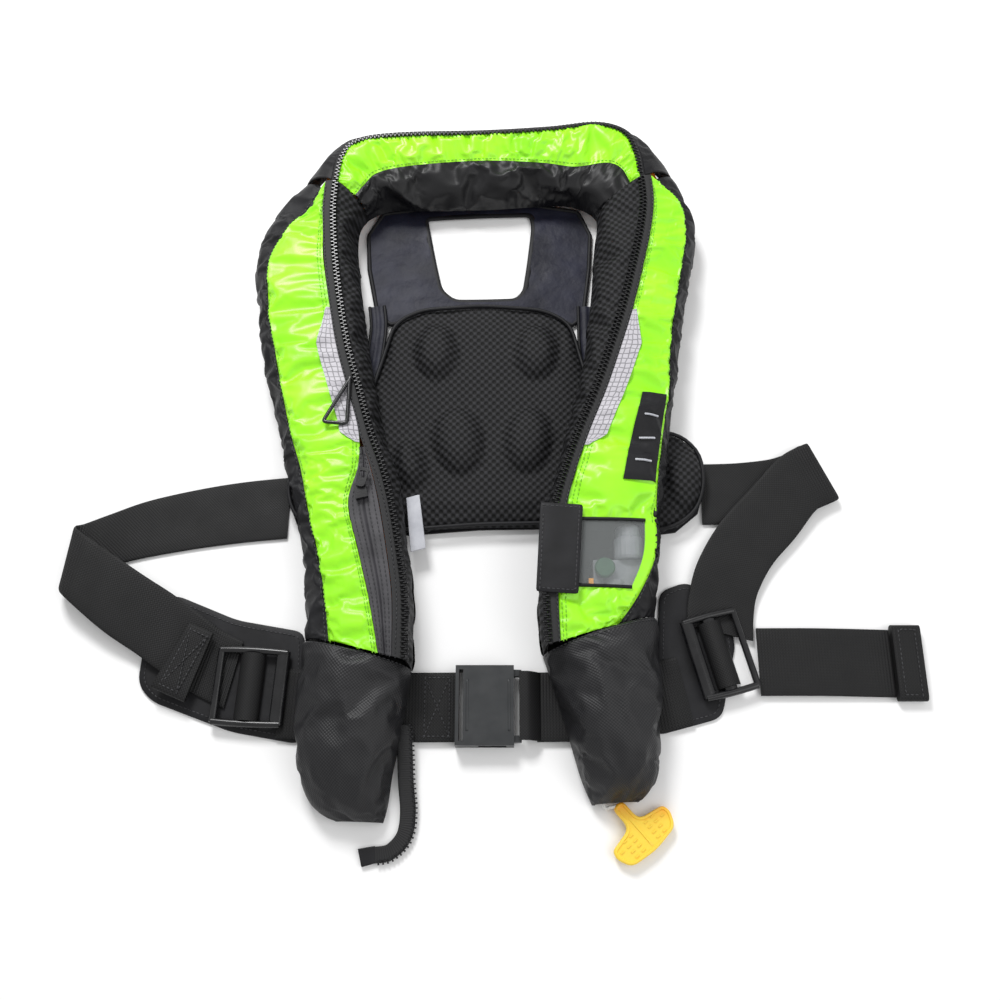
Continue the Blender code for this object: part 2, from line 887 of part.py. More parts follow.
def collar_back_cover():
    places = np.linspace(0.0, 1.0, 17)
    shares = rounding(3, 0.0, 1.0, tight_start=True)
    rows = [back_columns(place, shares) for place in places]
    plan = [
        [station(COLLAR_STATIONS, place, column) for column in row]
        for place, row in zip(places, rows)
    ]
    tops, bottoms = [], []
    for points, columns in zip(drawn_in(plan, GAP), rows):
        high = [collar_height(point, column) for point, column in zip(points, columns)]
        tops.append([(*point, z) for point, z in zip(points, high)])
        bottoms.append([(*point, z - ROLL_SHEET) for point, z in zip(points, high)])
    return smooth_shade(grid_solid("collar_back_cover", tops, bottoms, shell_black()))


def collar():
    collar_back_cover()
    shape = (COLLAR_STATIONS, collar_height, np.linspace(0.0, 1.0, 17))
    steep = rounding(3, 2.0, 3.0)
    smooth_shade(band("collar_cover", *shape, [1.0, 1.5, 2.0], lime(), thick=CLOTH))
    smooth_shade(band("collar_lining", *shape, steep, shell_black(), thick=ROLL_SHEET))


# ---------------------------------------------------------------- inside the lobes

BLADDER_TOP = 0.030
BLADDER_CLEAR = 0.0012


def bladder_top(x, y):
    """The folded bladder is thinner under the oral tube."""
    if x > 0:
        return BLADDER_TOP
    thin = ORAL_Z - ORAL_RADIUS - 0.0015
    share = min(max((y - 0.004) / 0.030, 0.0), 1.0)
    return thin + (BLADDER_TOP - thin) * share


def bladder():
    """One U-shaped air chamber that lies folded through both lobes and the collar."""
    rows = []
    for place in left_places()[1:]:
        if place < 0.86:
            rows.append((LEFT_STATIONS, place, 1.1, 2.9))
    rows.append((LEFT_STATIONS, 0.93, 1.15, 3.2))
    for place in np.linspace(0.10, 0.90, 11):
        rows.append((COLLAR_STATIONS, place, 0.5, 2.3))
    rows.append((RIGHT_STATIONS, 0.94, 1.15, 3.2))
    for place in shared(right_places(), WINDOW_TOP_Y + 0.004)[::-1]:
        if place < 0.86:
            rows.append((RIGHT_STATIONS, place, 1.1, 2.9))
    tops, bottoms = [], []
    for stations, place, outer, inner in rows:
        columns = np.linspace(outer, inner, 3)
        points = [station(stations, place, column) for column in columns]
        low = [lying_on(*point) + CLOTH + BLADDER_CLEAR for point in points]
        high = [max(bladder_top(*point), z + 0.001) for point, z in zip(points, low)]
        tops.append([(*point, z) for point, z in zip(points, high)])
        bottoms.append([(*point, z) for point, z in zip(points, low)])
    return grid_solid("bladder", tops, bottoms, bladder_film())


# A pocket's rows run from its mouth to its foot: left point, right point, crest height.
LEFT_POCKET = (
    ((-127, -116.5), (-48.5, -136.5), 43),
    ((-129, -145), (-51, -155), 42),
    ((-129, -178), (-55, -182), 39),
    ((-125, -206), (-60, -208), 33),
    ((-115, -228), (-63, -229), 22),
    ((-98, -240), (-66, -241), 9),
)
RIGHT_POCKET = (
    ((47, -125.5), (130, -98.5), 43),
    ((55, -150), (132, -140), 43),
    ((62, -174), (130, -170), 42),
    ((68, -196), (128, -195), 38),
    ((73, -213), (124, -213), 28),
    ((80, -229), (112, -227), 12),
)
POCKET_WALL = 0.0018


def pocket_rows(rows, count):
    table = np.array([(*left, *right, crest) for left, right, crest in rows]) * 0.001
    return [catmull(table, place) for place in np.linspace(0, 1, count + 1)]


def pocket(name, rows):
    """A domed front fabric; its rim lies on what is under it and its mouth is open."""
    angles = np.linspace(0, math.pi, 8)
    shares = (1 - np.cos(angles)) / 2
    tops, bottoms = [], []
    for row in pocket_rows(rows, 9):
        left, right, crest = row[:2], row[2:4], row[4]
        points = [left + (right - left) * share for share in shares]
        floor = [lying_on(*point) for point in points]
        high = [
            z + POCKET_WALL + (crest - z - POCKET_WALL) * math.sin(angle) ** 0.7
            if 0 < angle < math.pi
            else z + POCKET_WALL
            for z, angle in zip(floor, angles)
        ]
        tops.append([(*point, z) for point, z in zip(points, high)])
        bottoms.append([(*point, max(z - POCKET_WALL, low)) for point, z, low in zip(points, high, floor)])
    bottoms[-1] = [(*point[:2], lying_on(*point[:2])) for point in bottoms[-1]]
    return smooth_shade(grid_solid(name, tops, bottoms, ballistic()))


def back_cover(side, stations, rows, places):
    """Fabric under a lobe and its pocket, inside the pocket's rim."""
    inset = 0.004
    pairs = []
    for row in pocket_rows(rows, 9)[-2:0:-1]:
        left, right = row[:2], row[2:4]
        inward = (right - left) / np.linalg.norm(right - left) * inset
        pairs.append((left + inward, right - inward))
    for place in places[:-1]:
        outer = station(stations, place, 1.0)
        inner = station(stations, place, 3.0)
        inward = (inner - outer) / np.linalg.norm(inner - outer) * 3 * GAP
        pair = (outer + inward, inner - inward)
        pairs.append(pair if side == "left" else pair[::-1])
    tops, bottoms = [], []
    for first, last in pairs:
        points = [first + (last - first) * share for share in (0.0, 0.5, 1.0)]
        bottoms.append([(*point, lying_on(*point)) for point in points])
        tops.append([(*point, lying_on(*point) + CLOTH) for point in points])
    return grid_solid(f"{side}_back_cover", tops, bottoms, shell_black())


def oral_parts():
    """Oral inflation tube with its one-way valve, dust cap and the whistle beside it."""
    tube = [
        (ORAL_FOOT_Y, ORAL_RADIUS),
        (ORAL_TOP_Y - 0.004, ORAL_RADIUS),
        (ORAL_TOP_Y - 0.0035, ORAL_RADIUS),
        (ORAL_TOP_Y, ORAL_RADIUS),
    ]
    centre = (ORAL_X, 0.0, ORAL_Z)
    body = rod("oral_tube", tube, "y", centre, inflator_grey())
    bore = rod("oral_bore", [(ORAL_FOOT_Y - 0.001, 0.0040), (ORAL_TOP_Y - 0.006, 0.0040)], "y",
               centre, inflator_grey())
    smooth_shade(combine(body, bore, "DIFFERENCE"))
    valve = rod("oral_valve", [(0.0, 0.0024), (0.009, 0.0024), (0.009, 0.0034), (0.014, 0.0034)],
                "y", (ORAL_X, ORAL_FOOT_Y + 0.001, ORAL_Z), yellow_plastic())
    smooth_shade(pivot(valve, (ORAL_X, ORAL_FOOT_Y + 0.001, ORAL_Z)))
    cap = rod("oral_cap", [(0.0, ORAL_RADIUS), (0.007, ORAL_RADIUS)], "y",
              (ORAL_X, ORAL_FOOT_Y - 0.007 - GAP, ORAL_Z), buckle_plastic())
    smooth_shade(pivot(cap, (ORAL_X, ORAL_FOOT_Y - 0.007 - GAP, ORAL_Z)))
    whistle = block("whistle", (-0.088, -0.080, 0.0255), (-0.076, -0.036, 0.0355), yellow_plastic())
    slot = block("whistle_bore", (-0.0865, -0.081, 0.0270), (-0.0775, -0.048, 0.0340),
                 yellow_plastic())
    combine(whistle, slot, "DIFFERENCE")
    window = block("whistle_window", (-0.0865, -0.060, 0.0330), (-0.0775, -0.055, 0.0370),
                   yellow_plastic())
    combine(whistle, window, "DIFFERENCE")


# ---------------------------------------------------------------- inflator


def inflator():
    """Automatic inflator head: body, water-sensing cap, gas bottle, indicator and lever."""
    top, foot = INFLATOR_TOP_Y, INFLATOR_FOOT_Y
    body = block("inflator_body", (0.0835, foot, INFLATOR_FLOOR), (0.1195, top, INFLATOR_ROOF),
                 inflator_grey())
    sleeve = rod("inflator_sleeve", [(foot, BOTTLE_RADIUS + COLLET), (foot + 0.009, BOTTLE_RADIUS + COLLET)], "y",
                 (BOTTLE_X, 0.0, BOTTLE_Z + COLLET), inflator_grey())
    combine(body, sleeve, "UNION")
    seat = INFLATOR_ROOF + 0.001
    knob_seat = rod("knob_seat", [(seat - 0.002, KNOB_RADIUS - 0.0015), (seat, KNOB_RADIUS - 0.0015)],
                    "z", (*KNOB_AT, 0.0), inflator_grey())
    combine(body, knob_seat, "UNION")
    smooth_shade(body)

    ridged = [(0.0, CAP_RADIUS - 0.001), (0.002, CAP_RADIUS), (0.016, CAP_RADIUS),
              (0.017, CAP_RADIUS - 0.0015), (0.024, CAP_RADIUS - 0.0015),
              (CAP_LENGTH, CAP_RADIUS - 0.0035)]
    centre = (CAP_X, top + GAP, INFLATOR_FLOOR + CAP_RADIUS)
    cap = rod("sensor_cap", ridged, "y", centre, inflator_grey(), sides=20)
    smooth_shade(pivot(cap, centre))

    knob = rod("status_knob", [(0.0, KNOB_RADIUS), (0.0035, KNOB_RADIUS), (0.0045, KNOB_RADIUS - 0.001)],
               "z", (*KNOB_AT, seat + KNOB_TRAVEL + GAP), green_plastic())
    smooth_shade(pivot(knob, (*KNOB_AT, seat + KNOB_TRAVEL + GAP)))

    neck = [(0.0, 0.0055), (-0.008, 0.0055), (-0.018, BOTTLE_RADIUS),
            (-BOTTLE_LENGTH + 0.006, BOTTLE_RADIUS), (-BOTTLE_LENGTH + 0.001, BOTTLE_RADIUS * 0.72),
            (-BOTTLE_LENGTH, BOTTLE_RADIUS * 0.3)]
    centre = (BOTTLE_X, foot - GAP, BOTTLE_Z)
    bottle = rod("gas_bottle", neck, "y", centre, steel(), sides=18)
    smooth_shade(pivot(bottle, centre))

    side = 0.0835 - 2 * GAP
    root = (side - 0.0017, foot + 0.006, INFLATOR_FLOOR + 0.003)
    lever = block("firing_lever", (side - 0.0034, foot + 0.0035, INFLATOR_FLOOR + 0.0005),
                  (side, foot + 0.0085, INFLATOR_FLOOR + LEVER_LENGTH), yellow_plastic())
    pivot(lever, root)


def pull_cord_and_toggle():
    """Cord from the firing lever out of the pocket's foot, and the T-shaped toggle on it."""
    route = mm([(81.3, -85, 35), (82, -93, 32), (83.5, -104, 24), (86, -118, 14.5),
                (87.2, -132, 9.6), (CORD_X * 1000, -146, CORD_Z * 1000),
                (CORD_X * 1000, -228, CORD_Z * 1000), (92, -230.5, 7.2), (97.3, -229.3, 5.2)])
    curve = bpy.data.curves.new("pull_cord", "CURVE")
    curve.dimensions = "3D"
    curve.bevel_depth = CORD_RADIUS
    curve.bevel_resolution = 2
    curve.use_fill_caps = True
    spline = curve.splines.new("POLY")
    spline.points.add(len(route) - 1)
    for point, place in zip(spline.points, route):
        point.co = (*place, 1.0)
    cord = bpy.data.objects.new("pull_cord", curve)
    curve.materials.append(white_cord())
    bpy.context.scene.collection.objects.link(cord)

    half = TOGGLE_BAR / 2
    length = TOGGLE_LENGTH
    outline = [(0, 4.2), (0, -4.2), (length * 450, -4.5), (length * 540, -half * 1000),
               (length * 930, -half * 960), (length * 1000, 0), (length * 930, half * 960),
               (length * 540, half * 1000), (length * 450, 4.5)]
    toggle = plate("pull_toggle", fillet(mm(outline), 0.0055), 0.0, TOGGLE_THICK, yellow_plastic())
    hole = rod("toggle_hole", [(-0.001, 0.0014), (TOGGLE_THICK + 0.001, 0.0014)], "z",
               (0.0055, 0.0, 0.0), yellow_plastic(), sides=10)
    hole.location = (*TOGGLE_AT, 0.0022)
    hole.rotation_euler.z = math.radians(TOGGLE_TURN)
    toggle.location = (*TOGGLE_AT, 0.0022)
    toggle.rotation_euler.z = math.radians(TOGGLE_TURN)
    combine(toggle, hole, "DIFFERENCE")


# ---------------------------------------------------------------- trims on the covers


def beside_zip(stations, foot_y, top_y, widths, count):
    """Plan rows of a patch lying along the front cover's zip edge, by its widths."""
    rows = []
    places = lobe_places(stations, foot_y, top_y, count)
    for place, share in zip(places, np.linspace(0, 1, count + 1)):
        edge = catmull(stations[:, 2], place)
        seam = catmull(stations[:, 1], place)
        width = float(np.interp(share, *widths))
        first = 2.0 - width / np.linalg.norm(seam - edge)
        rows.append([(station(stations, place, column), column) for column in (first, 2.0)])
    return rows


def on_cover(name, rows, thick, finish):
    """A thin patch that follows the cover's surface."""
    lift = 0.0007
    tops, bottoms = [], []
    for row in rows:
        high = [lobe_height(point, column) + lift + thick for point, column in row]
        tops.append([(*point, z) for (point, _), z in zip(row, high)])
        bottoms.append([(*point, z - thick) for (point, _), z in zip(row, high)])
    return grid_solid(name, tops, bottoms, finish)


def trims():
    widths = ([0.0, 0.08, 0.75, 1.0], [0.003, 0.014, 0.015, 0.003])
    rows = beside_zip(LEFT_STATIONS, 0.030, 0.145, widths, 10)
    on_cover("left_reflective_patch", rows, 0.0006, silver())
    rows = beside_zip(RIGHT_STATIONS, 0.028, 0.143, widths, 10)
    on_cover("right_reflective_patch", rows, 0.0006, silver())
    rows = []
    for place in lobe_places(RIGHT_STATIONS, 0.000, 0.072, 5):
        columns = (1.03, 1.15, 1.3, 1.42)
        rows.append([(station(RIGHT_STATIONS, place, column), column) for column in columns])
    on_cover("label_patch", rows, 0.0008, shell_black())

    flap = mm([(45, -19), (76, -21), (71, -88), (41, -86)])
    closing = plate("velcro_flap", flap, FLAP_LEVEL, FLAP_LEVEL + 0.002, shell_black())
    pivot(closing, (0.0735, -0.0545, FLAP_LEVEL + 0.001))
    tag = mm([(-56, -4), (-46, -1), (-40, -44), (-51.5, -47)])
    plate("care_tag", tag, 0.0150, 0.0158, label_cloth())
    loop = fillet(mm([(-97.5, 87), (-120, 44), (-97.5, 42)]), 0.006)
    hole = fillet(mm([(-101.5, 75), (-113, 48.5), (-101.5, 46.5)]), 0.002)
    triangle = ring_plate("triangle_loop", loop, hole, LOOP_LEVEL, LOOP_LEVEL + 0.003, buckle_plastic())
    pivot(triangle, (-0.0975, 0.0645, LOOP_LEVEL + 0.0015))


def zip_slider():
    """Inspection zip's slider with its hinged pull, at the top of the zip."""
    start = np.array(SLIDER_FROM)
    towards = np.array(SLIDER_TOWARDS) - start
    turn = math.atan2(towards[1], towards[0])
    body = block("zip_slider", (-0.006, -0.0045, 0.0), (0.006, 0.0045, 0.0042), buckle_plastic())
    body.location = (*start, ZIP_LEVEL + GAP)
    body.rotation_euler.z = turn
    ring = fillet(mm([(0, -3.4), (15, -4.2), (15, 4.2), (0, 3.4)]), 0.003)
    hole = fillet(mm([(7.0, -2.0), (12.5, -2.4), (12.5, 2.4), (7.0, 2.0)]), 0.0012)
    pull = ring_plate("zip_pull", ring, hole, 0.0, 0.0016, buckle_plastic())
    pull.location = (*(start - towards / np.linalg.norm(towards) * 0.002), ZIP_LEVEL + 0.0052)
    pull.rotation_euler.z = turn + math.radians(180 - 24)


def zip_tail():
    """The burst zip's loose end below the left pocket, with its end tab."""
    rows = [(-50.8, -192, 6, 0), (-49.5, -212, 4, 2), (-47.5, -234, 2, 6), (-50.5, -251, 1.2, -30),
            (-62.5, -262.5, 0.8, -78)]
    ribbon("zip_tail", rows, 12, zip_black(), width=0.011, thick=0.0022)
    plate("zip_tail_tab", mm([(-83, -258), (-71, -256), (-69, -267), (-80, -270)]), 0.0006, 0.0030,
          shell_black())


# ---------------------------------------------------------------- harness


def straps():
    """Webbing of the harness. Rows are hand-placed where the loose straps lie."""
    level = WEB_LEVEL * 1000
    left = [(-150.8, -7, 2.4, 90), (-185, -11, 2.4, 88), (-222, -17, 2.4, 83), (-262, -26, 2.4, 78),
            (-291, -37, 2.9, 76), (-306, -46, 6.0, 80), (-308, -51, 12, 84), (-301, -58, 16.5, 82),
            (-285, -70, 15, 76), (-262, -86, 12, 66), (-238, -101, 8, 62), (-212, -119, 5, 68),
            (-196, -129, level, 74), (-179, -137, level, 78)]
    ribbon("left_strap", left, 44, webbing())
    fold = [(-224, -124, 10.0, 64), (-203, -133, 8.2, 72)]
    ribbon("left_strap_end", fold, 3, webbing(), width=0.053, thick=0.0045)
    end_y = (RIGHT_LADDER_AT[1] + WEB_WIDTH / 2 - STRAP_LAP) * 1000
    fold = [(-12, 0.9), (-7, 0.9), (-3.9, 1.0), (-1.1, 2.1), (0, 4.9), (-1.1, 7.7), (-3.9, 8.8),
            (-7, 8.9), (-12, 8.9)]
    right = [(174.8, 4, 0.8, 88), (200, 5, 0.8, 88), (228, 8, 0.8, 97), (244, 12.3, 0.8, 109)]
    right += [(267.5 + 0.916 * along, 22.3 + 0.402 * along, z, 113.7) for along, z in fold]
    right += [(244, 9, 8.8, 119), (224, -14, 7.5, 130), (202, -38, 7.0, 138),
              (187, end_y + 43, 6.0, 149), (181, end_y + 23, 4.75, 159), (178, end_y, 4.65, 166)]
    ribbon("right_strap", right, 72, webbing())
    tail_x = (STRAP_FOOT_X + WEB_WIDTH / 2) * 1000
    tail = [(tail_x, -127.5, level, 90), (250, -127.5, level, 90), (303, -128.5, level - 1, 90)]
    ribbon("right_strap_tail", tail, 8, webbing())
    fold = [(304, -128.5, 0.6, 90), (325, -128.5, 0.6, 90)]
    ribbon("right_strap_end", fold, 2, webbing(), width=0.056, thick=0.0075)
    buckle_end = (BUCKLE_X - BUCKLE_LENGTH / 2 - GAP) * 1000
    male_end = (BUCKLE_X + BUCKLE_LENGTH / 2 + GAP + MALE_LENGTH + GAP) * 1000
    row_y = BELT_Y * 1000
    ribbon("front_belt_left", [(-144, row_y + 3, level, 87), (-90, row_y, level, 90),
                               (buckle_end, row_y, level, 90)], 12, webbing())
    ribbon("front_belt_right", [(male_end, row_y, level, 90), (100, row_y + 2, level, 92),
                                (150, row_y + 12, level, 102)], 12, webbing())


def sleeves():
    left = mm([(-246, -86), (-229, -76), (-180, -96), (-129, -105), (-127, -187), (-178, -178),
               (-238, -156), (-249, -143)])
    plate("left_belt_sleeve", fillet(left, 0.006, 2), 0.0, SLEEVE, shell_black())
    right = mm([(135, -74), (157, -66), (178, -82), (190, -112), (176, -168), (127, -181)])
    plate("right_belt_sleeve", fillet(right, 0.006, 2), 0.0, SLEEVE, shell_black())


def ladder(name, size, middle, turn, hinge_side):
    """Ladder adjuster: a frame with two slots; it tilts about its bar at one end."""
    long, wide = size
    base = WEB_LEVEL + WEB + GAP
    shift = hinge_side * long / 2
    outline = fillet(np.array([(-long / 2, -wide / 2), (long / 2, -wide / 2),
                               (long / 2, wide / 2), (-long / 2, wide / 2)]), 0.005)
    outline = outline - np.array([shift, 0.0])
    frame = plate(name, outline, 0.0, LADDER_THICK, buckle_plastic())
    turned = math.radians(turn)
    hinge = np.array(middle) + shift * np.array([math.cos(turned), math.sin(turned)])
    slot = long * 0.17
    for index, share in enumerate((-0.24, 0.22)):
        centre = share * long - shift
        tool = block(f"{name}_slot_{index}", (centre - slot / 2, -WEB_WIDTH / 2, -0.001),
                     (centre + slot / 2, WEB_WIDTH / 2, LADDER_THICK + 0.001), buckle_plastic())
        tool.location = (*hinge, base)
        tool.rotation_euler.z = turned
        combine(frame, tool, "DIFFERENCE")
    frame.location = (*hinge, base)
    frame.rotation_euler.z = turned
    return frame


def adjusters():
    ladder("left_adjuster", LEFT_LADDER, LEFT_LADDER_AT, LEFT_LADDER_TURN, 1)
    ladder("right_adjuster", RIGHT_LADDER, RIGHT_LADDER_AT, RIGHT_LADDER_TURN, -1)


# ---------------------------------------------------------------- waist buckle

BUCKLE_FLOOR = 0.0005
BUCKLE_FACE = BUCKLE_X + BUCKLE_LENGTH / 2  # mouth of the female half
MALE_FACE = BUCKLE_FACE + GAP
PRONG_PIVOT_X = MALE_FACE + 0.0025
PRONG_CLEAR = 0.0003
RAMP = 0.010


def buckle_female():
    half = BUCKLE_WIDTH / 2
    floor, roof = BUCKLE_FLOOR, BUCKLE_FLOOR + BUCKLE_HEIGHT
    back = BUCKLE_X - BUCKLE_LENGTH / 2
    body = block("buckle_female", (back, BELT_Y - half, floor), (BUCKLE_FACE, BELT_Y + half, roof),
                 buckle_plastic())
    inner = half - BUCKLE_WALL
    cavity = block("buckle_cavity", (back + 0.0080, BELT_Y - inner, floor + BUCKLE_WALL),
                   (BUCKLE_FACE + 0.001, BELT_Y + inner, roof - BUCKLE_WALL), buckle_plastic())
    combine(body, cavity, "DIFFERENCE")
    for side in (-1, 1):
        near, far = sorted((BELT_Y + side * (inner - 0.001), BELT_Y + side * (half + 0.001)))
        window = block(f"buckle_window_{side}", (BUCKLE_FACE - 0.0055 - WINDOW_LENGTH, near,
                                                 floor + BUCKLE_WALL + 0.0005),
                       (BUCKLE_FACE - 0.0055, far, roof - BUCKLE_WALL - 0.0005), buckle_plastic())
        combine(body, window, "DIFFERENCE")
    slot = block("buckle_web_slot", (back + 0.0025, BELT_Y - WEB_WIDTH / 2 - 0.0005, floor - 0.001),
                 (back + 0.0055, BELT_Y + WEB_WIDTH / 2 + 0.0005, roof + 0.001), buckle_plastic())
    return combine(body, slot, "DIFFERENCE")


def buckle_male():
    half = BUCKLE_WIDTH / 2 - 0.0010
    floor, roof = BUCKLE_FLOOR + 0.0010, BUCKLE_FLOOR + BUCKLE_HEIGHT - 0.0010
    body = block("buckle_male", (MALE_FACE, BELT_Y - half, floor),
                 (MALE_FACE + MALE_LENGTH, BELT_Y + half, roof), buckle_plastic())
    tongue = block("buckle_tongue", (MALE_FACE - 0.024, BELT_Y - 0.003, floor + 0.003),
                   (MALE_FACE + 0.002, BELT_Y + 0.003, roof - 0.003), buckle_plastic())
    combine(body, tongue, "UNION")
    root = BUCKLE_WIDTH / 2 - BUCKLE_WALL - PRONG_CLEAR - PRONG_WIDTH
    for side in (-1, 1):
        near, far = sorted((BELT_Y + side * (root - 0.0020), BELT_Y + side * (half + 0.001)))
        seat = block(f"prong_seat_{side}", (MALE_FACE - 0.001, near, floor - 0.001),
                     (MALE_FACE + 0.0062, far, roof + 0.001), buckle_plastic())
        combine(body, seat, "DIFFERENCE")
    slot = block("male_web_slot", (MALE_FACE + 0.0085, BELT_Y - WEB_WIDTH / 2, floor - 0.001),
                 (MALE_FACE + 0.0120, BELT_Y + WEB_WIDTH / 2, roof + 0.001), buckle_plastic())
    combine(body, slot, "DIFFERENCE")
    return pivot(body, (MALE_FACE, BELT_Y, BUCKLE_FLOOR + BUCKLE_HEIGHT / 2))


def buckle_prongs():
    """Sprung side arms; each catch shows in a window and is squeezed in to let go."""
    outer = BUCKLE_WIDTH / 2 - BUCKLE_WALL - PRONG_CLEAR
    inner = outer - PRONG_WIDTH
    root = MALE_FACE + 0.0052
    tip = PRONG_PIVOT_X - PRONG_REACH
    top = BUCKLE_FACE - 0.0065 - RAMP
    shape = [(root, inner), (root, outer - 0.0005), (top + RAMP, outer), (top, outer + CATCH_RISE),
             (top - 0.004, outer + CATCH_RISE), (tip + 0.0015, outer - 0.001), (tip, outer - 0.003),
             (tip, inner + 0.0005)]
    low, high = BUCKLE_FLOOR + BUCKLE_WALL + 0.0015, BUCKLE_FLOOR + BUCKLE_HEIGHT - BUCKLE_WALL - 0.0015
    for word, side in (("upper", 1), ("lower", -1)):
        outline = [(x, BELT_Y + side * y) for x, y in shape]
        arm = plate(f"buckle_prong_{word}", outline, low, high, buckle_plastic())
        middle = BELT_Y + side * (inner + outer) / 2
        pivot(arm, (PRONG_PIVOT_X, middle, (low + high) / 2))


# ---------------------------------------------------------------- assembly


def build():
    clear_scene()
    back_pad_base()
    back_pad_mesh()
    back_yoke()
    neck_binding()
    side_panels()
    front_covers()
    window_panel()
    burst_zips()
    inspection_zip_panel()
    mesh_linings()
    collar()
    bladder()
    right_front = pocket("right_pocket", RIGHT_POCKET)
    exit_hole = block("cord_exit", (CORD_X - 0.0024, -0.245, CORD_Z - 0.0024),
                      (CORD_X + 0.0060, -0.200, CORD_Z + 0.0024), ballistic())
    combine(right_front, exit_hole, "DIFFERENCE")
    pocket("left_pocket", LEFT_POCKET)
    back_cover("left", LEFT_STATIONS, LEFT_POCKET, left_places())
    back_cover("right", RIGHT_STATIONS, RIGHT_POCKET, right_places())
    oral_parts()
    inflator()
    pull_cord_and_toggle()
    trims()
    zip_slider()
    zip_tail()
    sleeves()
    straps()
    adjusters()
    buckle_female()
    buckle_male()
    buckle_prongs()


build()
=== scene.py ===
"""Looks of the laid-out inflatable life jacket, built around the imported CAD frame. Metres, +Z up."""

import math

import bmesh
import bpy
import numpy as np
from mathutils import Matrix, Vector, noise
from mathutils.bvhtree import BVHTree


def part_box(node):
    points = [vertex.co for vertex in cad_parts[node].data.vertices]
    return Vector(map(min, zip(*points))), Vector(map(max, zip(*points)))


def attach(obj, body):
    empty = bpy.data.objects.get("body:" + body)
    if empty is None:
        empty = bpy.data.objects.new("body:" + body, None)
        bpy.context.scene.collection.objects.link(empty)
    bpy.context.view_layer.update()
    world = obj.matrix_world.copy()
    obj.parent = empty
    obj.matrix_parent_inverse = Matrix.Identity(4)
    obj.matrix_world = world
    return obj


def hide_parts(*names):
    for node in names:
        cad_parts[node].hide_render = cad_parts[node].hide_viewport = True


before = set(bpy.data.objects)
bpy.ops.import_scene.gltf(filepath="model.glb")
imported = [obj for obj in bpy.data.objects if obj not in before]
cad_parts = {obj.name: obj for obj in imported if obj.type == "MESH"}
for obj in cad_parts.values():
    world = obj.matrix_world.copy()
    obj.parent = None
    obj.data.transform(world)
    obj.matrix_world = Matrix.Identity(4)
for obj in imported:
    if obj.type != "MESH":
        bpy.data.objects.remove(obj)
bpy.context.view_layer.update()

# ---------------------------------------------------------------- camera, light and floor

TARGET = Vector((0.0155, 0.0, 0.0))
DISTANCE = 0.833
SLOPE = math.radians(20)  # of the view from straight down
SENSOR = 36.0
LENS = 38.6
WORLD_LIGHT = 0.62
FLOOR_REACH = 6.0
FLOOR_LEVEL = -0.0004


def placed(name, data):
    """A new object in the scene for a mesh, curve, lamp or camera."""
    made = bpy.data.objects.new(name, data)
    bpy.context.scene.collection.objects.link(made)
    return made


def aimed(name, data, place):
    """An object at a place, turned to the target."""
    made = placed(name, data)
    made.location = place
    made.rotation_euler = (TARGET - made.location).to_track_quat("-Z", "Y").to_euler()
    return made


def camera():
    data = bpy.data.cameras.new("camera")
    data.sensor_width = SENSOR
    data.lens = LENS
    away = Vector((0, -math.sin(SLOPE), math.cos(SLOPE))) * DISTANCE
    bpy.context.scene.camera = aimed("camera", data, TARGET + away)


def lamp(name, place, size, power):
    data = bpy.data.lights.new(name, "AREA")
    data.size = size
    data.energy = power
    aimed(name, data, Vector(place))


def studio():
    bpy.context.scene.view_settings.view_transform = "Standard"
    world = bpy.data.worlds.new("studio")
    world.use_nodes = True
    background = world.node_tree.nodes["Background"]
    background.inputs["Color"].default_value = (1.0, 1.0, 1.0, 1.0)
    background.inputs["Strength"].default_value = WORLD_LIGHT
    bpy.context.scene.world = world
    lamp("key", (-0.35, 0.95, 1.1), size=0.45, power=17)
    lamp("fill", (0.9, -0.4, 1.1), size=1.0, power=5)
    mesh = bpy.data.meshes.new("floor")
    ways = ((-1, -1), (1, -1), (1, 1), (-1, 1))
    mesh.from_pydata([(x * FLOOR_REACH, y * FLOOR_REACH, FLOOR_LEVEL) for x, y in ways], [], [(0, 1, 2, 3)])
    paint = Finish("floor", "floor_paint", (0.93, 0.93, 0.93), 0.85)
    paint.mottle((0.92, 0.92, 0.92), (0.94, 0.94, 0.94), 3.0)
    mesh.materials.append(paint.material)
    placed("floor", mesh)


# ---------------------------------------------------------------- materials

FINISH = {}  # every material by its short name


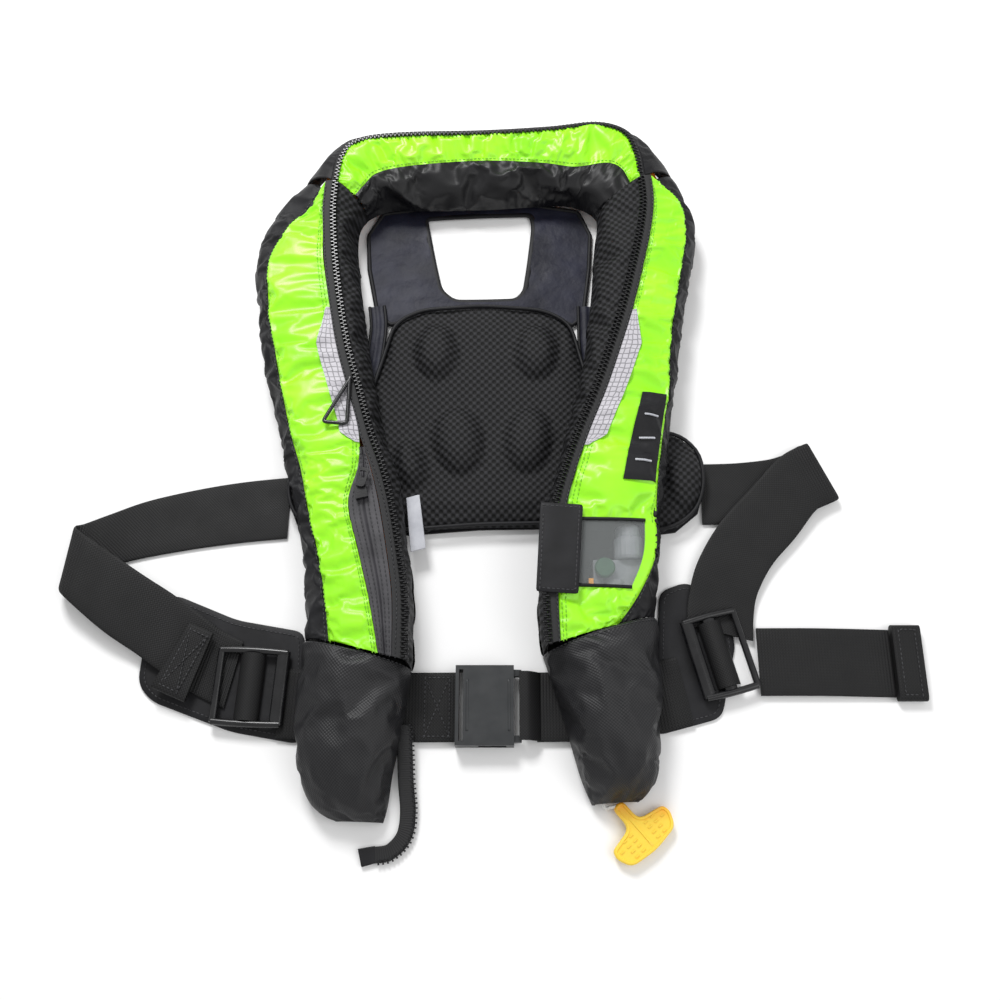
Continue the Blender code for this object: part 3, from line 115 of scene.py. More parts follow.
class Finish:
    """A procedural material made step by step."""

    def __init__(self, key, name, colour, roughness, **sockets):
        self.material = bpy.data.materials.new(name)
        self.material.use_nodes = True
        self.tree = self.material.node_tree
        self.shader = self.tree.nodes["Principled BSDF"]
        self.shader.inputs["Base Color"].default_value = (*colour, 1.0)
        self.shader.inputs["Roughness"].default_value = roughness
        for socket, value in sockets.items():
            self.shader.inputs[socket.replace("_", " ")].default_value = value
        self.normal = None
        FINISH[key] = self.material

    def node(self, kind, **values):
        made = self.tree.nodes.new(kind)
        for key, value in values.items():
            setattr(made, key, value)
        return made

    def link(self, start, end):
        self.tree.links.new(start, end)

    def where(self, source):
        return self.node("ShaderNodeTexCoord").outputs[source]

    def math(self, operation, first, second=None):
        made = self.node("ShaderNodeMath", operation=operation)
        for socket, value in zip(made.inputs, (first, second)):
            if value is None:
                continue
            if isinstance(value, (int, float)):
                socket.default_value = value
            else:
                self.link(value, socket)
        return made.outputs[0]

    def noise(self, scale, source="Object", detail=3.0):
        made = self.node("ShaderNodeTexNoise")
        made.inputs["Scale"].default_value = scale
        made.inputs["Detail"].default_value = detail
        self.link(self.where(source), made.inputs["Vector"])
        return made.outputs["Fac"]

    def waves(self, pitch, source="UV", turn=0.0):
        """A product of two waves, between 0 and 1: a weave, or the holes of a mesh."""
        turned = self.node("ShaderNodeMapping")
        turned.inputs["Rotation"].default_value = (0, 0, math.radians(turn))
        self.link(self.where(source), turned.inputs["Vector"])
        scaled = self.node("ShaderNodeMapping")
        scaled.inputs["Scale"].default_value = (2 * math.pi / pitch,) * 3
        self.link(turned.outputs[0], scaled.inputs["Vector"])
        parts = self.node("ShaderNodeSeparateXYZ")
        self.link(scaled.outputs[0], parts.inputs[0])
        first = self.math("SINE", parts.outputs[0])
        second = self.math("SINE", parts.outputs[1])
        half = self.math("MULTIPLY", self.math("MULTIPLY", first, second), 0.5)
        return self.math("ADD", half, 0.5)

    def ramp(self, factor, low, high, span, socket):
        """Runs a shader socket from a low to a high colour as the factor crosses the span."""
        made = self.node("ShaderNodeValToRGB")
        for stop, colour, place in zip(made.color_ramp.elements, (low, high), span):
            stop.color = (*colour, 1.0)
            stop.position = place
        self.link(factor, made.inputs[0])
        self.link(made.outputs[0], self.shader.inputs[socket])
        return self

    def paint(self, factor, low, high, span=(0.0, 1.0)):
        return self.ramp(factor, low, high, span, "Base Color")

    def mottle(self, low, high, scale):
        return self.paint(self.noise(scale), low, high, (0.35, 0.65))

    def polish(self, scale, low, high):
        """Roughness that varies between two values."""
        return self.ramp(self.noise(scale), (low,) * 3, (high,) * 3, (0.0, 1.0), "Roughness")

    def relief(self, height, distance, strength=1.0):
        bump = self.node("ShaderNodeBump")
        bump.inputs["Strength"].default_value = strength
        bump.inputs["Distance"].default_value = distance
        self.link(height, bump.inputs["Height"])
        if self.normal:
            self.link(self.normal, bump.inputs["Normal"])
        self.normal = bump.outputs[0]
        self.link(self.normal, self.shader.inputs["Normal"])
        return self


def finishes():
    lime = Finish("lime", "lime_coated_fabric", (0.36, 0.96, 0.01), 0.38,
                  Coat_Weight=0.12, Coat_Roughness=0.3)
    lime.mottle((0.27, 0.80, 0.004), (0.37, 0.93, 0.012), 22)
    lime.relief(lime.waves(0.0009), 0.00006, 0.5).relief(lime.noise(120, detail=5), 0.0004, 0.5)
    lime.polish(60, 0.30, 0.46)

    shell = Finish("shell", "black_shell_cloth", (0.005, 0.005, 0.006), 0.5, Specular_IOR_Level=0.3)
    shell.mottle((0.003, 0.003, 0.004), (0.008, 0.008, 0.010), 40)
    shell.relief(shell.waves(0.0007, "Object"), 0.0001, 0.5).relief(shell.noise(90, detail=5), 0.0006, 0.5)
    shell.polish(30, 0.42, 0.66)

    soft = Finish("soft", "black_softshell_cloth", (0.005, 0.005, 0.006), 0.42, Specular_IOR_Level=0.35)
    soft.mottle((0.003, 0.003, 0.004), (0.008, 0.008, 0.009), 30)
    soft.relief(soft.noise(900, detail=2), 0.00008, 0.5).relief(soft.noise(45, detail=4), 0.0010, 0.5)
    soft.polish(25, 0.36, 0.55)

    mesh = Finish("mesh", "black_air_mesh_cloth", (0.008, 0.008, 0.009), 0.7, Specular_IOR_Level=0.25)
    cells = mesh.waves(0.0062, "Object")
    # Painted shade and highlight: the holes of the mesh are painted near black and the raised threads between
    # them lighter, on the same cells as the bump.
    mesh.paint(cells, (0.001, 0.001, 0.001), (0.026, 0.026, 0.029), (0.3, 0.8))
    mesh.relief(cells, 0.0009, 0.9).relief(mesh.noise(700, detail=3), 0.0002, 0.5)

    navy = Finish("navy", "slate_navy_nylon", (0.01, 0.011, 0.022), 0.5, Specular_IOR_Level=0.22)
    navy.mottle((0.007, 0.0075, 0.015), (0.016, 0.017, 0.032), 35)
    navy.relief(navy.waves(0.0008, "Object"), 0.00006, 0.5).relief(navy.noise(70, detail=4), 0.0018, 0.7)
    navy.polish(30, 0.42, 0.6)

    web = Finish("web", "black_ribbed_webbing", (0.006, 0.006, 0.007), 0.55, Specular_IOR_Level=0.3)
    # Painted highlight and shade: the ribs are painted lighter on their crests and darker between them, on
    # the same waves as the bump.
    web.paint(web.waves(0.0022), (0.002, 0.002, 0.002), (0.012, 0.012, 0.013), (0.2, 0.9))
    web.relief(web.waves(0.0022), 0.0003, 0.6).relief(web.noise(800, "UV"), 0.0001, 0.4)
    web.polish(50, 0.5, 0.72)

    pocket = Finish("pocket", "black_ballistic_weave", (0.008, 0.008, 0.009), 0.48, Specular_IOR_Level=0.4)
    # Painted highlight and shade: the weave is painted lighter on its raised threads and darker in the
    # hollows, on the same waves as the bump.
    pocket.paint(pocket.waves(0.0024), (0.002, 0.002, 0.003), (0.018, 0.018, 0.020), (0.2, 0.9))
    pocket.relief(pocket.waves(0.0024), 0.00035, 0.6).relief(pocket.noise(60, detail=4), 0.0012, 0.5)
    pocket.polish(35, 0.4, 0.6)

    tape = Finish("tape", "black_zip_tape", (0.012, 0.012, 0.013), 0.65)
    # Painted highlight and shade: the tape is painted lighter on its raised threads and darker in the
    # hollows, on the same waves as the bump.
    tape.paint(tape.waves(0.0012), (0.002, 0.002, 0.003), (0.010, 0.010, 0.011))
    tape.relief(tape.waves(0.0012), 0.00015, 0.6)

    teeth = Finish("teeth", "black_moulded_teeth", (0.014, 0.014, 0.015), 0.28)
    teeth.mottle((0.006, 0.006, 0.007), (0.012, 0.012, 0.013), 200).polish(150, 0.2, 0.36)

    taped = Finish("taped", "grey_taped_zip", (0.035, 0.033, 0.038), 0.5)
    taped.mottle((0.026, 0.025, 0.029), (0.046, 0.044, 0.050), 60)
    taped.relief(taped.waves(0.0008), 0.00012, 0.5).polish(40, 0.45, 0.65)

    silver = Finish("silver", "silver_honeycomb_tape", (0.4, 0.39, 0.41), 0.5, Specular_IOR_Level=0.3)
    cell = silver.node("ShaderNodeTexVoronoi", feature="DISTANCE_TO_EDGE")
    cell.inputs["Scale"].default_value = 230
    cell.inputs["Randomness"].default_value = 0.25
    silver.link(silver.where("UV"), cell.inputs["Vector"])
    silver.paint(cell.outputs["Distance"], (0.20, 0.195, 0.21), (0.50, 0.485, 0.52), (0.04, 0.14))
    silver.relief(cell.outputs["Distance"], 0.0003, 0.5)

    film = Finish("film", "clear_window_sheet", (0.5, 0.53, 0.53), 0.12, Alpha=0.14, IOR=1.45)
    film.relief(film.noise(60, detail=2), 0.0015, 0.6).polish(40, 0.06, 0.2)

    plastic = Finish("plastic", "dark_grey_acetal", (0.032, 0.034, 0.037), 0.42)
    plastic.mottle((0.018, 0.020, 0.022), (0.027, 0.029, 0.031), 80)
    plastic.relief(plastic.noise(1500, detail=2), 0.00006, 0.5).polish(90, 0.34, 0.5)

    gloss = Finish("gloss", "black_adjuster_plastic", (0.006, 0.006, 0.007), 0.25)
    gloss.mottle((0.004, 0.004, 0.005), (0.009, 0.009, 0.010), 90)
    gloss.relief(gloss.noise(900, detail=2), 0.00005, 0.5).polish(80, 0.2, 0.34)

    inflator = Finish("inflator", "grey_inflator_shell", (0.22, 0.235, 0.25), 0.38)
    inflator.mottle((0.19, 0.205, 0.22), (0.26, 0.275, 0.29), 70)
    inflator.relief(inflator.noise(1200, detail=2), 0.00006, 0.5).polish(70, 0.3, 0.46)

    steel = Finish("steel", "painted_bottle", (0.2, 0.21, 0.22), 0.3, Metallic=0.7)
    steel.mottle((0.17, 0.18, 0.19), (0.24, 0.25, 0.26), 60).polish(90, 0.24, 0.4)

    yellow = Finish("yellow", "yellow_moulded_plastic", (0.95, 0.58, 0.03), 0.36, Subsurface_Weight=0.08)
    reach = yellow.node("ShaderNodeSeparateXYZ")
    yellow.link(yellow.where("Object"), reach.inputs[0])
    level = yellow.node("ShaderNodeMapRange")
    level.inputs["From Min"].default_value = -0.240
    level.inputs["From Max"].default_value = -0.226
    yellow.link(reach.outputs[1], level.inputs["Value"])
    yellow.paint(level.outputs[0], (0.98, 0.66, 0.06), (0.90, 0.36, 0.015))
    yellow.relief(yellow.noise(500, detail=2), 0.0001, 0.5).polish(90, 0.3, 0.44)

    green = Finish("green", "green_indicator", (0.02, 0.34, 0.08), 0.35)
    green.mottle((0.015, 0.07, 0.03), (0.025, 0.10, 0.045), 200).polish(200, 0.28, 0.42)

    bladder = Finish("bladder", "orange_bladder_film", (0.8, 0.22, 0.02), 0.45)
    bladder.mottle((0.72, 0.18, 0.014), (0.86, 0.26, 0.03), 40).relief(bladder.noise(50), 0.001, 0.6)

    cord = Finish("cord", "white_braid", (0.75, 0.74, 0.7), 0.75)
    # Painted shade and highlight: the braid is painted darker in the grooves and lighter on its strands, on
    # the same waves as the bump.
    cord.paint(cord.waves(0.0016, "Object", 30), (0.5, 0.49, 0.46), (0.8, 0.79, 0.76))
    cord.relief(cord.waves(0.0016, "Object", 30), 0.0002, 0.7)

    label = Finish("label", "woven_grey_label", (0.5, 0.51, 0.55), 0.75)
    label.mottle((0.44, 0.45, 0.49), (0.58, 0.59, 0.63), 60).relief(label.waves(0.0008, "Object"), 0.0001)

    thread = Finish("thread", "black_thread", (0.02, 0.02, 0.022), 0.5)
    thread.mottle((0.014, 0.014, 0.016), (0.045, 0.045, 0.05), 300)

    lime_thread = Finish("lime_thread", "lime_thread", (0.2, 0.52, 0.02), 0.5)
    lime_thread.mottle((0.16, 0.44, 0.012), (0.26, 0.62, 0.03), 300)


# ---------------------------------------------------------------- the plan, as in the CAD

GAP = 0.0003
CLOTH = 0.0013
ROLL_SHEET = 0.0020
BIND = 0.0022
LOBE_CREST = 0.044
LOBE_SEAM = 0.035
LIME_EDGE = 0.043
INNER_RIM = 0.006
OUTER_RIM = 0.004
COLLAR_FOLD = 0.038
PAD_BASE = 0.002
PAD_TOP = 0.012
POD_RISE = 0.009
WEB_WIDTH = 0.050
WEB = 0.0018
SLEEVE = 0.0022
WEB_LEVEL = SLEEVE + GAP + 0.0002
TAPE = 0.009
COLLAR_TAPE = 0.005
ZIP_LEVEL = 0.0450
FALL = 0.030
WINDOW_TOP_Y = -0.030
WINDOW_FOOT_Y = -0.080
INSPECTION_TOP = 0.026
TURN_START = 0.78  # past this place the lobe's side is a sheet
BOTTLE_END = 0.30  # below this place the right lobe's side is a sheet

LAYERS = (
    ((-0.160, 0.184, -0.037, 0.178), PAD_TOP + 0.0012),
    ((-0.104, 0.104, 0.140, 0.272), BIND + 3 * GAP + 0.0015),
    ((-0.260, 0.260, -0.206, -0.112), WEB_LEVEL + WEB + 2 * GAP),
)


def mm(points):
    return np.array(points, dtype=float) * 0.001


def level_row(y, *across):
    return [(x, y) for x in across]


LEFT_STATIONS = mm(
    [
        [(-126, -115), (-106, -119), (-70, -129), (-51, -134), (-48.5, -135)],
        level_row(-90, -127, -110, -78, -52, -49),
        level_row(-55, -131, -117, -87, -57, -53),
        level_row(-18, -138, -127, -96, -64, -57),
        level_row(12, -146, -134, -90, -72, -63),
        level_row(40, -153, -143, -91, -82, -72),
        level_row(75, -163, -152, -101, -92, -80),
        level_row(110, -172, -160, -111, -102, -87),
        level_row(150, -180, -168, -119, -110, -94),
        level_row(190, -184, -170, -126, -116, -100),
        [(-180, 226), (-157, 222), (-128, 221), (-119, 220), (-103, 218)],
        [(-168, 252), (-142, 240), (-129, 241), (-120, 242), (-102, 236)],
        [(-150, 276), (-131, 262), (-128, 263), (-119, 264), (-96, 247)],
    ]
)

RIGHT_STATIONS = mm(
    [
        [(129, -97), (100, -107), (58, -120.5), (49.5, -123), (47, -124)],
        level_row(-84, 130, 116, 57, 48, 45),
        level_row(-55, 133, 129, 59, 50, 46),
        level_row(-22, 136, 131, 64, 55, 49),
        level_row(8, 141, 134, 72, 63, 57),
        level_row(40, 146, 139, 83, 74, 65),
        level_row(75, 151, 145, 97, 88, 74),
        level_row(110, 157, 148, 109, 100, 82),
        level_row(145, 163, 153, 120, 111, 87),
        level_row(180, 169, 160, 129, 120, 91),
        level_row(215, 175, 166, 137, 128, 94),
        [(175, 245), (163, 246), (141, 244), (132, 243), (97, 237)],
        [(163, 284), (143, 270), (140, 269), (131, 268), (97, 247)],
    ]
)

SIDES = (("left", LEFT_STATIONS), ("right", RIGHT_STATIONS))

COLLAR_STATIONS = mm(
    [
        [(-150, 276), (-119, 264), (-104, 254), (-96, 247)],
        [(-134, 297), (-115, 287), (-97, 264), (-87, 253)],
        [(-112, 314), (-103, 302), (-86, 276), (-74, 257)],
        [(-68, 319), (-68, 308), (-58, 283), (-52, 257)],
        [(0, 321), (0, 310), (0, 288), (0, 258)],
        [(58, 324), (56, 314), (49, 286), (43, 261)],
        [(100, 328), (96, 319), (78, 282), (66, 262)],
        [(130, 321), (119, 311), (104, 286), (82, 259)],
        [(149, 303), (128, 291), (117, 280), (92, 253)],
        [(163, 284), (131, 268), (124, 264), (97, 247)],
    ]
)


def catmull(points, place):
    points = np.asarray(points, dtype=float)
    spans = len(points) - 1
    position = min(max(place, 0.0), 1.0) * spans
    first = min(int(position), spans - 1)
    t = position - first
    before, start = points[max(first - 1, 0)], points[first]
    end, after = points[first + 1], points[min(first + 2, spans)]
    leave, arrive = (end - before) / 2, (after - start) / 2
    square, cube = t * t, t * t * t
    return (
        (2 * cube - 3 * square + 1) * start
        + (cube - 2 * square + t) * leave
        + (3 * square - 2 * cube) * end
        + (cube - square) * arrive
    )


def station(stations, along, column):
    left = min(int(column), stations.shape[1] - 2)
    start = catmull(stations[:, left], along)
    end = catmull(stations[:, left + 1], along)
    return start + (end - start) * (column - left)


def place_at_y(stations, column, y):
    places = np.linspace(0.0, 1.0, 241)
    return float(np.interp(y, [catmull(stations[:, column], p)[1] for p in places], places))


def lying_on(x, y):
    height = 2 * GAP
    for box, level in LAYERS:
        away = math.hypot(max(box[0] - x, 0.0, x - box[1]), max(box[2] - y, 0.0, y - box[3]))
        share = max(0.0, 1.0 - away / FALL)
        height = max(height, level * share * share * (3 - 2 * share))
    return height


def quarter(start, end, share):
    return start + (end - start) * math.sqrt(max(0.0, 1 - (1 - share) ** 2))


def lobe_height(point, column):
    floor = lying_on(*point)
    if column <= 1:
        return quarter(floor + OUTER_RIM, LOBE_SEAM, column)
    if column <= 2:
        return quarter(LOBE_SEAM, LIME_EDGE, column - 1)
    if column <= 3:
        return LIME_EDGE + (LOBE_CREST - LIME_EDGE) * (column - 2)
    return quarter(floor + INNER_RIM, LOBE_CREST, 4 - column)


def collar_height(point, column):
    floor = lying_on(*point)
    if column <= 1:
        return quarter(floor + OUTER_RIM, LOBE_CREST, column)
    if column <= 2:
        return LOBE_CREST + (COLLAR_FOLD - LOBE_CREST) * (column - 1) ** 1.5
    return quarter(floor + INNER_RIM, COLLAR_FOLD, 3 - column)


def zip_column(stations, place):
    cover, crest = catmull(stations[:, 2], place), catmull(stations[:, 3], place)
    return 3.0 - min(TAPE / np.linalg.norm(crest - cover), 1.0)


# ---------------------------------------------------------------- mesh makers

CELL = 0.0028  # size of a fabric piece's cells before subdivision
CLOTH_FRAMES = 20
CLOTH_SCALE = 10.0  # fine grids are simulated larger than life
THREAD_LIFT = 0.0003  # of stitches off their fabric
TOOTH_PITCH = 0.0017
BLOCK_TOP = 0.7  # share of a small block's foot that its top keeps
END_RINGS = 10


def new_mesh(name, points, faces, finish, uvs=None, smooth=True):
    mesh = bpy.data.meshes.new(name)
    mesh.from_pydata([tuple(map(float, point)) for point in points], [], faces)
    if uvs is not None:
        layer = mesh.uv_layers.new(name="cloth")
        index = np.empty(len(mesh.loops), np.int32)
        mesh.loops.foreach_get("vertex_index", index)
        layer.data.foreach_set("uv", np.asarray(uvs, dtype=np.float32)[index].ravel())
    shape = bmesh.new()
    shape.from_mesh(mesh)
    bmesh.ops.recalc_face_normals(shape, faces=shape.faces)
    shape.to_mesh(mesh)
    shape.free()
    if smooth:
        mesh.shade_smooth()
    mesh.materials.append(FINISH[finish])
    return placed(name, mesh)


def ring_faces(rings, sides, base=0, closed=False):
    """Faces between rings of points, with a cap at each end unless the last ring meets the first."""
    faces = []
    for ring in range(rings if closed else rings - 1):
        start = base + ring * sides
        after = base + (ring + 1) % rings * sides
        for step in range(sides):
            beside = (step + 1) % sides
            faces.append((start + step, start + beside, after + beside, after + step))
    if not closed:
        last = base + (rings - 1) * sides
        faces.append(tuple(range(base, base + sides)))
        faces.append(tuple(range(last, last + sides)))
    return faces


def skinned(name, loops, height, finish):
    """A closed mesh over loops of plan points, each at a level. height(x, y, z) shapes the levels."""
    points = [(x, y, height(x, y, z)) for loop, z in loops for x, y in loop]
    faces = ring_faces(len(loops), len(loops[0][0]))
    return new_mesh(name, points, faces, finish, [point[:2] for point in points])


def run_along(points):
    """Distance along a line at each of its points."""
    return np.r_[0, np.cumsum(np.linalg.norm(np.diff(points, axis=0), axis=1))]


def at_places(points, run, places):
    """Points of a line at distances along it."""
    return np.stack([np.interp(places, run, values) for values in points.T], axis=1)


def grid_faces(rows, columns, offset=0, flip=False):
    faces = []
    for row in range(rows - 1):
        for column in range(columns - 1):
            corner = offset + row * columns + column
            quad = (corner, corner + 1, corner + columns + 1, corner + columns)
            faces.append(tuple(reversed(quad)) if flip else quad)
    return faces


def grid_normals(tops):
    along = np.gradient(tops, axis=0)
    across = np.gradient(tops, axis=1)
    normals = np.cross(across, along)
    normals /= np.maximum(np.linalg.norm(normals, axis=2, keepdims=True), 1e-12)
    if normals[..., 2].mean() < 0:
        normals = -normals
    return normals


def grid_uvs(tops):
    rows, columns = tops.shape[:2]
    along = run_along(tops[:, columns // 2])
    across = run_along(tops[rows // 2])
    u, v = np.meshgrid(along, across, indexing="ij")
    return np.stack([u, v], axis=-1).reshape(-1, 2)


def shell(name, tops, bottoms, finish):
    """A closed piece between two matched grids of points."""
    rows, columns = tops.shape[:2]
    under = rows * columns
    points = np.concatenate([tops.reshape(-1, 3), bottoms.reshape(-1, 3)])
    faces = grid_faces(rows, columns) + grid_faces(rows, columns, under, True)
    rim = list(range(columns))
    rim += [row * columns + columns - 1 for row in range(1, rows)]
    rim += [(rows - 1) * columns + column for column in range(columns - 2, -1, -1)]
    rim += [row * columns for row in range(rows - 2, 0, -1)]
    faces += [(b, a, under + a, under + b) for a, b in zip(rim, rim[1:] + rim[:1])]
    uvs = grid_uvs(tops)
    made = new_mesh(name, points, faces, finish, np.concatenate([uvs, uvs]))
    made.data.set_sharp_from_angle(angle=math.radians(60))
    return made


def after_cloth(piece):
    """The points of an object once its Cloth has run."""
    scene = bpy.context.scene
    for step in range(1, CLOTH_FRAMES + 1):
        scene.frame_set(step)
    evaluated = piece.evaluated_get(bpy.context.evaluated_depsgraph_get())
    result = np.empty(len(evaluated.data.vertices) * 3)
    evaluated.data.vertices.foreach_get("co", result)
    scene.frame_set(1)
    return result.reshape(-1, 3)


def capped(start, end, cap):
    """Points moved towards an end, none of them further than the cap."""
    move = end - start
    size = np.linalg.norm(move, axis=-1, keepdims=True)
    return start + move * np.minimum(1.0, cap / np.maximum(size, 1e-9))


def simulated(tops, grow, cap, bending=0.5):
    """The grid after Blender's Cloth has let it spread between its sewn edges."""
    rows, columns = tops.shape[:2]
    mesh = bpy.data.meshes.new("cloth")
    points = tops.reshape(-1, 3) * CLOTH_SCALE
    mesh.from_pydata([tuple(point) for point in points], [], grid_faces(rows, columns))
    made = placed("cloth", mesh)
    sewn = np.ones((rows, columns), bool)
    sewn[1:-1, 1:-1] = False
    group = made.vertex_groups.new(name="sewn")
    group.add([int(index) for index in np.flatnonzero(sewn)], 1.0, "REPLACE")
    cloth = made.modifiers.new("cloth", "CLOTH")
    settings = cloth.settings
    settings.quality = 6
    settings.mass = 0.3
    settings.vertex_group_mass = "sewn"
    settings.pin_stiffness = 1.0
    settings.shrink_min = -grow
    settings.tension_stiffness = 20
    settings.compression_stiffness = 20
    settings.shear_stiffness = 10
    settings.bending_stiffness = bending
    settings.air_damping = 4
    settings.effector_weights.gravity = 0
    cloth.collision_settings.use_collision = False
    cloth.point_cache.frame_end = CLOTH_FRAMES
    result = after_cloth(made).reshape(tops.shape) / CLOTH_SCALE
    bpy.data.objects.remove(made, do_unlink=True)
    return capped(tops, result, cap)


def wrinkled(tops, amount, length, seed, ridge=False, edge=3):
    """The grid with folds of a given height and (along, across) size, which fade out over the last
    edge cells at its rim. Ridges are sharp along their tops."""
    rows, columns = tops.shape[:2]
    uvs = grid_uvs(tops).reshape(rows, columns, 2)
    normals = grid_normals(tops)
    lift = np.zeros((rows, columns))
    for row in range(rows):
        for column in range(columns):
            u, v = uvs[row, column]
            spot = Vector((u / length[0], v / length[1], seed * 7.3))
            value = noise.noise(spot) + 0.5 * noise.noise(spot * 2.1)
            lift[row, column] = 0.45 - abs(value) * 1.3 if ridge else value
    from_end = np.minimum(np.arange(rows), np.arange(rows)[::-1])[:, None]
    from_side = np.minimum(np.arange(columns), np.arange(columns)[::-1])[None, :]
    fade = np.clip(np.minimum(from_end, from_side) / edge, 0, 1)
    return tops + normals * (lift * amount * fade)[..., None]


def finer(tops):
    """The grid with one more point between each two, on smooth curves."""
    rows, columns = tops.shape[:2]
    down = np.array([catmull(tops, p) for p in np.linspace(0, 1, rows * 2 - 1)])
    turned = np.swapaxes(down, 0, 1)
    across = np.array([catmull(turned, p) for p in np.linspace(0, 1, columns * 2 - 1)])
    return np.swapaxes(across, 0, 1)


def lobe_grid(stations, height, places, start, end, columns, spread=None):
    """Points of a lobe's or the collar's surface between two columns."""
    shares = np.linspace(0, 1, columns + 1) if spread is None else spread(columns)
    tops = []
    for place in places:
        first = start(place) if callable(start) else start
        last = end(place) if callable(end) else end
        row = []
        for share in shares:
            column = first + (last - first) * share
            point = station(stations, place, column)
            row.append((*point, height(point, column)))
        tops.append(row)
    return np.array(tops)


def tight_start(count):
    return 1 - np.cos(np.linspace(0, math.pi / 2, count + 1))


def tight_end(count):
    return np.sin(np.linspace(0, math.pi / 2, count + 1))


def cloth_piece(name, tops, finish, thick, floor=False, hollow=None):
    """A sheet of this thickness, or where floor is set a roll that is closed underneath."""
    normals = grid_normals(tops)
    bottoms = tops - normals * thick
    if floor:
        for row in range(len(tops)):
            if hollow and hollow(row / (len(tops) - 1)):
                continue
            for column in range(tops.shape[1]):
                x, y = tops[row, column, :2]
                bottoms[row, column] = (x, y, min(lying_on(x, y), tops[row, column, 2] - 0.001))
    bottoms[..., 2] = np.maximum(bottoms[..., 2], GAP)
    return shell(name, tops, bottoms, finish)


def put(piece, body, slot, *nodes):
    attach(piece, body)
    if nodes:
        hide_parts(*nodes)
    return piece


def stretched(name, tops, finish, thick, slot, node):
    """A sheet sewn on along its edges."""
    piece = put(cloth_piece(name, tops, finish, thick), "root", slot, node)


def follow(points, pitch):
    """Points at an even pitch along a line."""
    points = np.asarray(points, dtype=float)
    run = run_along(points)
    return at_places(points, run, np.arange(0, run[-1], pitch))


STITCH_RINGS = ((-0.5, 0.35), (-0.25, 1.0), (0.25, 1.0), (0.5, 0.35))  # place and size along a stitch


def stitches(name, lines, finish, slot, body="root", pitch=0.0034, length=0.0024, radius=0.0003):
    """Rows of raised stitches along lines of points."""
    points, faces = [], []
    for line in lines:
        spots = follow(line, pitch)
        for spot, after in zip(spots[:-1], spots[1:]):
            ahead = after - spot
            size = np.linalg.norm(ahead)
            if size < 1e-6:
                continue
            ahead = ahead / size
            side = np.cross(ahead, (0, 0, 1.0))
            side /= max(np.linalg.norm(side), 1e-9)
            up = np.cross(side, ahead)
            base = len(points)
            for along, share in STITCH_RINGS:
                centre = spot + ahead * length * along
                for index in range(6):
                    angle = index * math.pi / 3
                    spoke = side * math.cos(angle) * 1.3 + up * math.sin(angle)
                    points.append(centre + spoke * radius * share)
            faces += ring_faces(4, 6, base)
    return put(new_mesh(name, points, faces, finish), body, slot)


def grid_line(tops, column):
    """A line along one column of a grid, part columns allowed, lifted off the fabric."""
    low = min(int(column), tops.shape[1] - 2)
    share = column - low
    normals = grid_normals(tops)
    line = tops[:, low] * (1 - share) + tops[:, low + 1] * share
    return line + normals[:, low] * THREAD_LIFT


def tube(name, line, radius, finish, sides=8, flat=1.0, closed=False):
    """A round or flattened cord, piping or bar along a line."""
    line = np.asarray(line, dtype=float)
    count = len(line)
    points = []
    for index in range(count):
        before = line[index - 1] if (index or closed) else line[0]
        after = line[(index + 1) % count] if (index < count - 1 or closed) else line[-1]
        ahead = after - before
        ahead /= max(np.linalg.norm(ahead), 1e-9)
        side = np.cross(ahead, (0, 0, 1.0))
        if np.linalg.norm(side) < 1e-6:
            side = np.array([1.0, 0, 0])
        side /= np.linalg.norm(side)
        up = np.cross(side, ahead)
        for step in range(sides):
            angle = 2 * math.pi * step / sides
            spoke = side * math.cos(angle) + up * math.sin(angle) * flat
            points.append(line[index] + spoke * radius)
    return new_mesh(name, points, ring_faces(count, sides, closed=closed), finish)


def bar_mesh(points, faces, centre, ahead, side, up, size):
    """Adds one small block with a narrower top to lists of points and faces."""
    base = len(points)
    for z, share in ((-0.5, 1.0), (0.2, 1.0), (0.5, BLOCK_TOP)):
        for x, y in ((-1, -1), (1, -1), (1, 1), (-1, 1)):
            points.append(
                centre
                + ahead * size[0] / 2 * x * share
                + side * size[1] / 2 * y * share
                + up * size[2] * z
            )
    faces.extend(ring_faces(3, 4, base))


def teeth_along(name, line, width=0.0056, tall=0.0022):
    """Moulded zip teeth that mesh from either side of a line."""
    spots = follow(line, TOOTH_PITCH)
    points, faces = [], []
    for index, (spot, after) in enumerate(zip(spots[:-1], spots[1:])):
        ahead = (after - spot) / np.linalg.norm(after - spot)
        side = np.cross((0, 0, 1.0), ahead)
        side /= np.linalg.norm(side)
        up = np.cross(ahead, side)
        shift = 0.18 if index % 2 else -0.18
        centre = spot + side * width * shift
        bar_mesh(points, faces, centre, ahead, side, up, (TOOTH_PITCH * 0.74, width * 0.64, tall))
    return put(new_mesh(name, points, faces, "teeth", smooth=False), "root", "zip")


def fillet(points, radius, steps=5):
    points = np.asarray(points, dtype=float)
    rounded = []
    for index, corner in enumerate(points):
        back = points[index - 1] - corner
        ahead = points[(index + 1) % len(points)] - corner
        reach = min(radius, np.linalg.norm(back) * 0.45, np.linalg.norm(ahead) * 0.45)
        first = corner + back / np.linalg.norm(back) * reach
        last = corner + ahead / np.linalg.norm(ahead) * reach
        for step in range(steps + 1):
            t = step / steps
            rounded.append((1 - t) ** 2 * first + 2 * t * (1 - t) * corner + t * t * last)
    return np.array(rounded)


def resampled(outline, count):
    """A closed outline with points at an even pitch."""
    loop = np.concatenate([outline, outline[:1]])
    run = run_along(loop)
    return at_places(loop, run, np.linspace(0, run[-1], count, endpoint=False))


